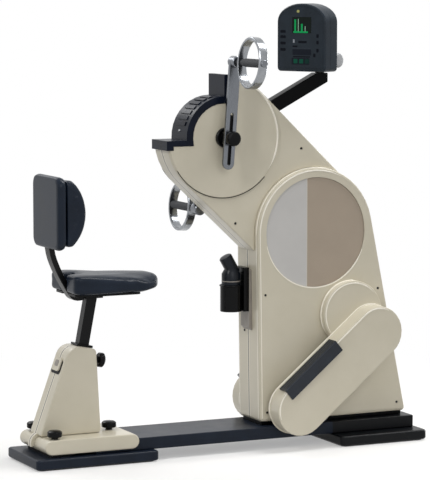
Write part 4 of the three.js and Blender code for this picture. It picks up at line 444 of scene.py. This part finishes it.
def settle(piece):
    """Applies a piece's modifiers to its mesh."""
    bpy.context.view_layer.update()
    shaped = piece.evaluated_get(bpy.context.evaluated_depsgraph_get())
    made = bpy.data.meshes.new_from_object(shaped)
    piece.modifiers.clear()
    piece.data = made


def plate_mesh(outline, low, high, place):
    """Vertices and faces of a flat plate: an outline of (a, b) points between two levels, put in
    place by a function."""
    count = len(outline)
    vertices = [place(a, b, level) for level in (low, high) for a, b in outline]
    faces = [tuple(range(count)), tuple(range(count, 2 * count))]
    faces += [(i, (i + 1) % count, count + (i + 1) % count, count + i) for i in range(count)]
    return vertices, faces


def rounded(left, bottom, right, top, corner, steps=4):
    """A rectangle's outline with round corners."""
    centres = ((right - corner, top - corner), (left + corner, top - corner),
               (left + corner, bottom + corner), (right - corner, bottom + corner))
    return [(x + corner * math.cos(a), y + corner * math.sin(a))
            for i, (x, y) in enumerate(centres)
            for a in (math.pi / 2 * (i + k / steps) for k in range(steps + 1))]


def sweep_faces(count, steps, stops):
    """Faces between the copies of a profile of some points that stand at each stop of a sweep. A
    sweep with as many stops as steps is a closed ring, and one with a stop more gets two ends."""
    faces = [(i * count + k, i * count + (k + 1) % count,
              (i + 1) % stops * count + (k + 1) % count, (i + 1) % stops * count + k)
             for i in range(steps) for k in range(count)]
    if stops > steps:
        faces += [tuple(range(count)), tuple(range(steps * count, stops * count))]
    return faces


def ring_mesh(profile, first_deg, last_deg, steps, place):
    """A closed profile of (radius, level) points swept about an axis, round the whole way or along
    a part of it."""
    stops = steps if last_deg - first_deg >= 360 else steps + 1
    turns = [math.radians(first_deg + (last_deg - first_deg) * i / steps) for i in range(stops)]
    vertices = [place(radius * math.cos(turn), radius * math.sin(turn), level)
                for turn in turns for radius, level in profile]
    return vertices, sweep_faces(len(profile), steps, stops)


def belt_lip(circles, profile, first_deg, last_deg, steps, place):
    """A closed profile of (inset, level) points swept along a part of the belt about some circles
    of (x, z, radius). It sinks towards its foot at both ends."""
    foot_in, foot_level = [(a + b) / 2 for a, b in zip(profile[0], profile[-1])]
    vertices = []
    for i in range(steps + 1):
        turn = math.radians(first_deg + (last_deg - first_deg) * i / steps)
        across, up = math.cos(turn), math.sin(turn)
        x, z, radius = max(circles, key=lambda c: c[0] * across + c[1] * up + c[2])
        rise = min(1.0, 0.05 + 7 * min(i, steps - i) / steps)
        for inset, level in profile:
            inset = foot_in + (inset - foot_in) * rise
            level = foot_level + (level - foot_level) * rise
            vertices.append(place(x + (radius - inset) * across, z + (radius - inset) * up, level))
    return vertices, sweep_faces(len(profile), steps, steps + 1)


def on_side(side):
    """A function that puts a point at X and Z in millimetres on one side, some way out from the
    centre plane."""
    def place(x, z, level):
        return (x * MM, side * level * MM, z * MM)
    return place


# ---- Padded seat and backrest ----
# A pad starts a little smaller than its solid, and air swells it against its stretchy skin
PAD_START = 0.975
PAD_VOXEL_MM = 5.0
AIR_PRESSURE = 4.0
SKIN_STRETCH = 25
SKIN_BENDING = 4
SWELL_STEPS = 20


def padded_form(node, name, finish, cap_mm):
    """A foam pad that starts from the solid's form a little smaller and is pressed out by cloth
    with air inside."""
    mesh = frame["nodes"][node].data.copy()
    mesh.materials.clear()
    mesh.materials.append(FINISHES[finish])
    pad = bpy.data.objects.new(name, mesh)
    scene.collection.objects.link(pad)
    edit = bmesh.new()
    edit.from_mesh(mesh)
    bmesh.ops.remove_doubles(edit, verts=edit.verts, dist=0.02 * MM)
    edit.to_mesh(mesh)
    edit.free()
    low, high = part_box(node)
    middle = (low + high) / 2
    for vertex in mesh.vertices:
        vertex.co = middle + (vertex.co - middle) * PAD_START
    remesh = pad.modifiers.new("remesh", "REMESH")
    remesh.mode = "VOXEL"
    remesh.voxel_size = PAD_VOXEL_MM * MM
    settle(pad)
    smooth = pad.modifiers.new("smooth", "SMOOTH")
    smooth.factor = 0.5
    smooth.iterations = 6
    settle(pad)
    inflate(pad, cap_mm)
    round_off = pad.modifiers.new("round_off", "SUBSURF")
    round_off.levels = 1
    round_off.render_levels = 1
    settle(pad)
    for face in pad.data.polygons:
        face.use_smooth = True
    return pad


def inflate(pad, cap_mm):
    """Swells a pad with cloth under air pressure, and keeps every point within a cap of where it
    was."""
    rest = np.array([v.co for v in pad.data.vertices])
    cloth = pad.modifiers.new("cloth", "CLOTH")
    cloth.settings.use_pressure = True
    cloth.settings.uniform_pressure_force = AIR_PRESSURE
    cloth.settings.effector_weights.gravity = 0.0
    cloth.settings.tension_stiffness = SKIN_STRETCH
    cloth.settings.compression_stiffness = SKIN_STRETCH
    cloth.settings.bending_stiffness = SKIN_BENDING
    cloth.point_cache.frame_start = 1
    cloth.point_cache.frame_end = SWELL_STEPS
    for step in range(1, SWELL_STEPS + 1):
        scene.frame_set(step)
    settle(pad)
    scene.frame_set(1)
    moved = np.array([v.co for v in pad.data.vertices]) - rest
    reach = np.linalg.norm(moved, axis=1, keepdims=True)
    moved *= np.minimum(1.0, cap_mm * MM / np.maximum(reach, 1e-9))
    pad.data.vertices.foreach_set("co", (rest + moved).astype(np.float32).ravel())
    pad.data.update()


def make_seat():
    """The two foam pads, each in place of its plain solid."""
    for node, name, finish, cap_mm in (("seat_cushion", "seat_foam", "vinyl", 4.0),
                                       ("backrest_pad", "backrest_foam", "vinyl_back", 3.5)):
        pad = padded_form(node, name, finish, cap_mm)
        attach(pad, "seat")
        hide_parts(node)


# ---- Console face, laid out in millimetres: across from its middle, left to right as the user
# sees it, and up from the floor ----
CONSOLE_AXIS = Vector((0.405, 0.0, 0.0))
CONSOLE_TURN = math.pi + math.radians(25)
OVERLAY_FACE = 0.111
INK_THICK = 0.35 * MM
ON_OVERLAY = 0.05 * MM
OVER_OTHER_INK = 0.5 * MM
BAR_FOOT = 1499


def on_console(across_mm, up_mm, out):
    """A point on the console's face: across and up in millimetres, out from it in metres."""
    spin = Matrix.Rotation(CONSOLE_TURN, 3, "Z")
    flat = spin @ Vector((OVERLAY_FACE + out, across_mm * MM, 0.0))
    return CONSOLE_AXIS + flat + Vector((0, 0, up_mm * MM))


def console_patch(name, outlines, material, lift=ON_OVERLAY):
    """Printed or moulded patches on the overlay, all one piece."""
    vertices, faces = [], []
    for outline in outlines:
        more, sides = plate_mesh(outline, lift, lift + INK_THICK, on_console)
        faces += [tuple(i + len(vertices) for i in side) for side in sides]
        vertices += more
    return mesh_piece(name, vertices, faces, material, "console")


def make_console_face():
    """Bar display, label strips and keys, all plain shapes without words."""
    green_bars = [rounded(x - 4, BAR_FOOT, x + 4, BAR_FOOT + tall, 0.8, 1)
                  for x, tall in ((-26, 44), (4, 28))]
    pale_bars = [rounded(x - 1.6, BAR_FOOT, x + 1.6, BAR_FOOT + tall, 0.8, 1)
                 for x, tall in ((-12, 46), (19, 20))]
    left_keys = [rounded(-94, z, -70, z + 10, 2.5) for z in (1429, 1452, 1475, 1494)]
    right_keys = [rounded(x - 5, z, x + 5, z + 13, 2.5)
                  for x, z in ((75, 1426), (75, 1455), (75, 1478), (61, 1409))]
    soft_keys = [rounded(x - 9, 1385, x + 9, 1401, 2) for x in (-24, 2)]
    dark_labels = [rounded(-12, 1458, 26, 1466, 0.8, 1), rounded(-38, 1443, -16, 1449, 0.8, 1),
                   rounded(-36, 1407, 42, 1411, 0.8, 1)]
    console_patch("display_bars", green_bars, INK_GREEN)
    console_patch("display_bars_pale", pale_bars, INK_PALE)
    console_patch("display_baseline", [rounded(-34, 1494.5, 32, 1500.5, 0.8, 1)], INK_GREEN,
                  OVER_OTHER_INK)
    # Emblem disc with a faint glow: painted light.
    console_patch("glowing_emblem", [rounded(-19, 1567, -7, 1577, 4.9, 6)], INK_GLOWING_EMBLEM)
    console_patch("side_keys", left_keys + right_keys, INK_DARK)
    console_patch("soft_key_field", [rounded(-42, 1381, 38, 1405, 2)], INK_FIELD)
    console_patch("soft_keys", soft_keys, INK_SOFT_KEY, OVER_OTHER_INK)
    console_patch("faint_soft_key", [rounded(19, 1385, 37, 1401, 2)], INK_FAINT_KEY, OVER_OTHER_INK)
    console_patch("key_field", [rounded(-38, 1415, 46, 1436, 1)], INK_FIELD)
    console_patch("pale_label", [rounded(-36, 1459, -29, 1471, 0.8, 1)], INK_LABEL)
    console_patch("dark_labels", dark_labels, INK_DARK)
    console_patch("key_field_rule", [rounded(-40, 1439.6, 44, 1440.8, 0.3, 1)], INK_LINE)


# ---- Screws, made once and set out on points ----
# The head's top, its recess's width and its recess's depth are shares of the head's own sizes
SCREW_TAPER = 0.8
RECESS_WIDTH = 0.5
RECESS_DEPTH = 0.6
SCREW_SINK_MM = 2.6
BODY_HOLES = ((145, 558), (153, 131), (604, 560), (686, 132))
NECK_HOLES = ((38, 819), (301, 1080))
QUARTER_COVER_RADIUS = 146.6


def screw_tree():
    """A node tree that puts a screw head with a driver's recess on every point, turned by the
    point's own turn."""
    tree = bpy.data.node_groups.new("screw_heads", "GeometryNodeTree")
    for name, kind in (("Geometry", "Geometry"), ("Head radius", "Float"),
                       ("Head height", "Float"), ("Finish", "Material")):
        tree.interface.new_socket(name, in_out="INPUT", socket_type="NodeSocket" + kind)
    tree.interface.new_socket("Geometry", in_out="OUTPUT", socket_type="NodeSocketGeometry")
    given = add(tree, "NodeGroupInput").outputs
    narrow = add(tree, "ShaderNodeMath", {"operation": "MULTIPLY", 1: SCREW_TAPER},
                 {0: given["Head radius"]})
    head = add(tree, "GeometryNodeMeshCone", {"Vertices": 24},
               {"Radius Top": narrow.outputs["Value"], "Radius Bottom": given["Head radius"],
                "Depth": given["Head height"]})
    rim = add(tree, "GeometryNodeExtrudeMesh", {"Offset Scale": 0.0},
              {"Mesh": head.outputs["Mesh"], "Selection": head.outputs["Top"]})
    recess = add(tree, "GeometryNodeScaleElements", {"Scale": RECESS_WIDTH},
                 {"Geometry": rim.outputs["Mesh"], "Selection": rim.outputs["Top"]})
    deep = add(tree, "ShaderNodeMath", {"operation": "MULTIPLY", 1: -RECESS_DEPTH},
               {0: given["Head height"]})
    sunk = add(tree, "GeometryNodeExtrudeMesh",
               links={"Mesh": recess.outputs["Geometry"], "Selection": rim.outputs["Top"],
                      "Offset Scale": deep.outputs["Value"]})
    turn = add(tree, "GeometryNodeInputNamedAttribute",
               {"data_type": "FLOAT_VECTOR", "Name": "turn"})
    heads = add(tree, "GeometryNodeInstanceOnPoints",
                links={"Points": given["Geometry"], "Instance": sunk.outputs["Mesh"],
                       "Rotation": turn.outputs["Attribute"]})
    real = add(tree, "GeometryNodeRealizeInstances", links={"Geometry": heads.outputs["Instances"]})
    painted = add(tree, "GeometryNodeSetMaterial",
                  links={"Geometry": real.outputs["Geometry"], "Material": given["Finish"]})
    add(tree, "NodeGroupOutput", links={"Geometry": painted.outputs["Geometry"]})
    return tree


def set_screws(name, places, body, radius_mm, height_mm, finish, tree):
    """Screw heads as one piece. Each place is x, y and z in millimetres, and the three angles about
    X, Y and Z that turn a head from facing up to facing outwards."""
    mesh = bpy.data.meshes.new(name)
    mesh.from_pydata([(x * MM, y * MM, z * MM) for x, y, z, angles in places], [], [])
    turns = mesh.attributes.new("turn", "FLOAT_VECTOR", "POINT")
    turns.data.foreach_set("vector", [angle for x, y, z, angles in places for angle in angles])
    piece = bpy.data.objects.new(name, mesh)
    scene.collection.objects.link(piece)
    heads = piece.modifiers.new("heads", "NODES")
    heads.node_group = tree
    values = {"Head radius": radius_mm * MM, "Head height": height_mm * MM, "Finish": finish}
    for socket in tree.interface.items_tree:
        if socket.in_out == "INPUT" and socket.name in values:
            heads[socket.identifier] = values[socket.name]
    settle(piece)
    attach(piece, body)


def make_screws():
    """Cover screws in their counterbores, the bottle plate's screw and the quarter cover's bright
    one."""
    tree = screw_tree()
    facing = ((-1, (math.pi / 2, 0, 0)), (1, (-math.pi / 2, 0, 0)))
    covers = [(x, side * (face - SCREW_SINK_MM), z, angles)
              for face, holes in ((BODY_FACE, BODY_HOLES), (NECK_FACE, NECK_HOLES))
              for x, z in holes for side, angles in facing]
    set_screws("cover_screws", covers, "base", 4.4, 2.3, SCREW_STEEL, tree)
    plate_hole = (104.9, 0, 424, (0, -math.pi / 2, 0))
    set_screws("bottle_plate_screw", [plate_hole], "base", 5.0, 3.0, SCREW_STEEL, tree)
    quarter_hole = (DRUM_X - QUARTER_COVER_RADIUS * math.cos(QUARTER_COVER_TILT), 0,
                    DRUM_Z + QUARTER_COVER_RADIUS * math.sin(QUARTER_COVER_TILT),
                    (0, QUARTER_COVER_TILT - math.pi / 2, 0))
    set_screws("quarter_cover_screw", [quarter_hole], "base", 4.6, 3.0, BRIGHT_STEEL, tree)


# ---- Small mouldings, and pale beads and dark strips that paint highlights and shade ----
def make_drum_lips():
    """A pale lip that paints the highlight along each drum disc's rim on the side away from the
    seat, and a near-black strip that paints the shadow along the rim's lower edge."""
    circles = ((DRUM_X, DRUM_Z, 214.8),)
    rim = ((0.0, 65.0), (1.8, 68.0), (5.0, 68.0), (7.3, 65.0))
    joint_shadow = ((214.2, 64.6), (214.2, 65.6), (216.4, 65.6), (216.4, 64.6))
    for name, side in SIDES:
        place = on_side(side)

        def about_drum(across, up, level):
            return place(DRUM_X + across, DRUM_Z + up, level)

        # Pale lip: painted highlight on the rim.
        mesh_piece(f"drum_rim_highlight_{name}", *belt_lip(circles, rim, -34, 62, 120, place),
                   FINISHES["cream_painted_highlight"], "base")
        # Near-black strip: painted shadow under the rim's lower edge.
        mesh_piece(f"drum_lower_shadow_{name}", *ring_mesh(joint_shadow, -148, -42, 96, about_drum),
                   SHADOW_BLACK, "base")


def make_cover_lips():
    """Thin rounded beads of pale gelcoat along the edges of the body covers, the panel recesses and
    the
    footrests, which paint highlights: each runs only along an arc that catches the light. Each row
    gives a lip's name, its circles, its profile, and the arc that it follows in degrees from +X."""
    body = (*BODY_FOOT_CORNERS, (PANEL_X, PANEL_Z, 234))
    panel = ((PANEL_X, PANEL_Z, 203.4),)
    boss = ((BOSS_X, BOSS_Z, 120),)
    foot = tuple((x, z, 95) for x, z in FOOTREST_ENDS)
    foot_rim = tuple((x, z, 98) for x, z in FOOTREST_ENDS)
    highlight_lips = (
        ("body_edge", body, ((7.6, 87.4), (8.8, 88.9), (12.0, 88.9), (13.0, 87.6)), 60, 192),
        ("body_outer", body, ((0.6, 72.0), (-1.1, 73.2), (-1.1, 78.0), (0.6, 79.2)), 62, 192),
        ("panel_ring", panel, ((-0.8, 87.4), (0.2, 88.9), (3.6, 88.9), (4.4, 87.0)), 182, 350),
        ("boss_edge", boss, ((6.0, 122.8), (7.0, 124.5), (10.2, 124.5), (11.2, 122.9)), 35, 222),
        ("boss_outer", boss, ((0.5, 94.0), (-1.0, 95.2), (-1.0, 102.0), (0.5, 103.2)), 70, 222),
        ("footrest_edge", foot, ((4.4, 192.8), (5.4, 194.5), (8.8, 194.5), (9.8, 192.9)), 58, 205),
        ("footrest_rim", foot_rim, ((0.5, 121.0), (-0.9, 122.0), (-0.9, 126.0), (0.5, 127.0)),
         58, 205))
    for part, circles, profile, first, last in highlight_lips:
        for name, side in SIDES:
            # Pale beads that paint highlights along the bright arcs.
            lip = belt_lip(circles, profile, first, last, 240, on_side(side))
            mesh_piece(f"{part}_{name}", *lip, FINISHES["cream_painted_highlight"], "base")


def make_slot_shade_strips():
    """A near-black strip behind the slot of each crank bar, which paints the shade inside the slot.
    The two bars point opposite ways.
    """
    across_x, across_z = math.cos(CRANK_LEAN), math.sin(CRANK_LEAN)
    for name, side in SIDES:

        def place(across, along, level):
            return ((DRUM_X - side * along * across_z + across * across_x) * MM, side * level * MM,
                    (DRUM_Z - side * along * across_x - across * across_z) * MM)

        strip = plate_mesh(rounded(-6.3, -95, 6.3, 83, 6, 5), 105.2, 106.4, place)
        mesh_piece(f"slot_shade_{name}", *strip, SHADOW_BLACK, f"{name}_arm")


def make_pedestal_clip():
    """The cream latch tongue on the rear of the pedestal, standing proud of a near-black plate that
    paints the shade in its recess, with a grey grip on it."""
    down_x, down_z = math.cos(PEDESTAL_SLOPE), math.sin(PEDESTAL_SLOPE)

    def place(across, along, out):
        x, z = LATCH_X - down_x * along, LATCH_Z - down_z * along
        return ((x - down_z * out) * MM, across * MM, (z + down_x * out) * MM)

    recess = plate_mesh(rounded(-40, 0, 40, 52, 12, 5), 0.3, 3.6, place)
    tongue = plate_mesh(rounded(-30, -6, 30, 42, 11, 5), 3.8, 8.6, place)
    grip = plate_mesh(rounded(-15, 4, 15, 26, 6, 4), 8.8, 9.4, place)
    # The near-black plate paints the shade in the recess round the tongue.
    mesh_piece("latch_recess_shade", *recess, SHADOW_BLACK, "carriage")
    mesh_piece("latch_tongue", *tongue, FINISHES["cream_whole"], "carriage")
    mesh_piece("latch_grip", *grip, FINISHES["warm_grey"], "carriage")


def make_bottle_band():
    """The pale band round the bottle."""
    profile = ((31.4, 604.4), (34.3, 604.4), (34.3, 608.0), (31.4, 608.0))

    def place(across, deep, up):
        return ((BOTTLE_X + across) * MM, deep * MM, up * MM)

    ring = ring_mesh(profile, 0, 360, 48, place)
    mesh_piece("bottle_band", *ring, FINISHES["warm_grey"], "bottle")


# ---- Studio ----
FLOOR_HALF = 30.0
GLOW_STARTS, GLOW_FULL = 0.7, 2.4
GLOW_UNDER_MACHINE = 0.35
FLOOR_LIGHT = 0.2
SKY_LIGHT = 0.36
MACHINE_MIDDLE = Vector((0.0, 0.0, 0.9))
# Each lamp's name, place, aim, width and height in metres, and power in watts
LAMPS = (
    ("left_strip", Vector((-4.2, -2.0, 4.0)), MACHINE_MIDDLE, (0.5, 2.4), 75),
    ("right_strip", Vector((4.4, 1.9, 1.4)), MACHINE_MIDDLE, (0.5, 3.0), 85),
    ("top_strip", Vector((1.8, -0.5, 4.4)), MACHINE_MIDDLE, (0.9, 3.0), 120),
    ("front_lamp", Vector((-0.4, -4.8, 2.8)), Vector((0.1, 0.0, 0.7)), (3.0, 3.0), 45),
    ("back_lamp", Vector((-1.5, 3.4, 3.6)), MACHINE_MIDDLE, (2.6, 1.6), 60),
)


def light_area(name, place, aim, size, power):
    """A soft rectangular lamp that looks at a point."""
    lamp = bpy.data.lights.new(name, "AREA")
    lamp.shape = "RECTANGLE"
    lamp.size, lamp.size_y = size
    lamp.energy = power
    holder = bpy.data.objects.new(name, lamp)
    holder.location = place
    holder.rotation_euler = (aim - place).to_track_quat("-Z", "Y").to_euler()
    scene.collection.objects.link(holder)


def seen_or(tree, otherwise):
    """One for rays from the camera and for reflected and refracted ones, and a lower value for all
    other rays."""
    seen = add(tree, "ShaderNodeLightPath").outputs
    direct = add(tree, "ShaderNodeMath", {"operation": "MAXIMUM"},
                 {0: seen["Is Camera Ray"], 1: seen["Is Glossy Ray"]})
    either = add(tree, "ShaderNodeMath", {"operation": "MAXIMUM"},
                 {0: direct.outputs["Value"], 1: seen["Is Transmission Ray"]})
    amount = add(tree, "ShaderNodeMapRange", {"To Min": otherwise, "To Max": 1.0},
                 {"Value": either.outputs["Value"]})
    return amount.outputs["Result"]


def pale_floor():
    """Studio floor paper: it keeps the shadows near the machine and glows white further out, so
    that it runs into the surround without a line."""
    material, tree, shader, coords = start_material("pale_studio_floor", {"Roughness": 0.7})
    mottle(tree, shader, coords, ("#f6f5f3", "#f9f8f6"), 900, (0.6, 0.7), (30, 0.1, 0.02))
    reach = add(tree, "ShaderNodeVectorMath", {"operation": "LENGTH"}, {0: coords})
    fade = add(tree, "ShaderNodeMapRange",
               {"interpolation_type": "SMOOTHSTEP", "From Min": GLOW_STARTS, "From Max": GLOW_FULL,
                "To Min": GLOW_UNDER_MACHINE, "To Max": 1.0}, {"Value": reach.outputs["Value"]})
    white = add(tree, "ShaderNodeEmission", {"Color": (1, 1, 1, 1)},
                {"Strength": seen_or(tree, FLOOR_LIGHT)})
    paper = add(tree, "ShaderNodeMixShader",
                links={0: fade.outputs["Result"], 1: shader.outputs["BSDF"],
                       2: white.outputs["Emission"]})
    tree.links.new(paper.outputs["Shader"], tree.nodes["Material Output"].inputs["Surface"])
    return material


def make_studio():
    """A pale floor, a white surround, tall strip lamps that draw bright lines along the rounded
    edges, and soft lamps in front and behind."""
    mesh = bpy.data.meshes.new("studio_floor")
    corners = [(x * FLOOR_HALF, y * FLOOR_HALF, 0) for x, y in ((-1, -1), (1, -1), (1, 1), (-1, 1))]
    mesh.from_pydata(corners, [], [(0, 1, 2, 3)])
    mesh.materials.append(pale_floor())
    floor = bpy.data.objects.new("studio_floor", mesh)
    scene.collection.objects.link(floor)

    world = bpy.data.worlds.new("studio")
    scene.world = world
    world.use_nodes = True
    tree = world.node_tree
    tree.nodes.clear()
    sky = add(tree, "ShaderNodeBackground", {"Color": (1, 1, 1, 1)},
              {"Strength": seen_or(tree, SKY_LIGHT)})
    add(tree, "ShaderNodeOutputWorld", links={"Surface": sky.outputs["Background"]})
    for lamp in LAMPS:
        light_area(*lamp)


place_camera()
dress_solids()
make_seat()
make_console_face()
make_screws()
make_drum_lips()
make_cover_lips()
make_slot_shade_strips()
make_pedestal_clip()
make_bottle_band()
make_studio()
scene.view_settings.view_transform = "Standard"
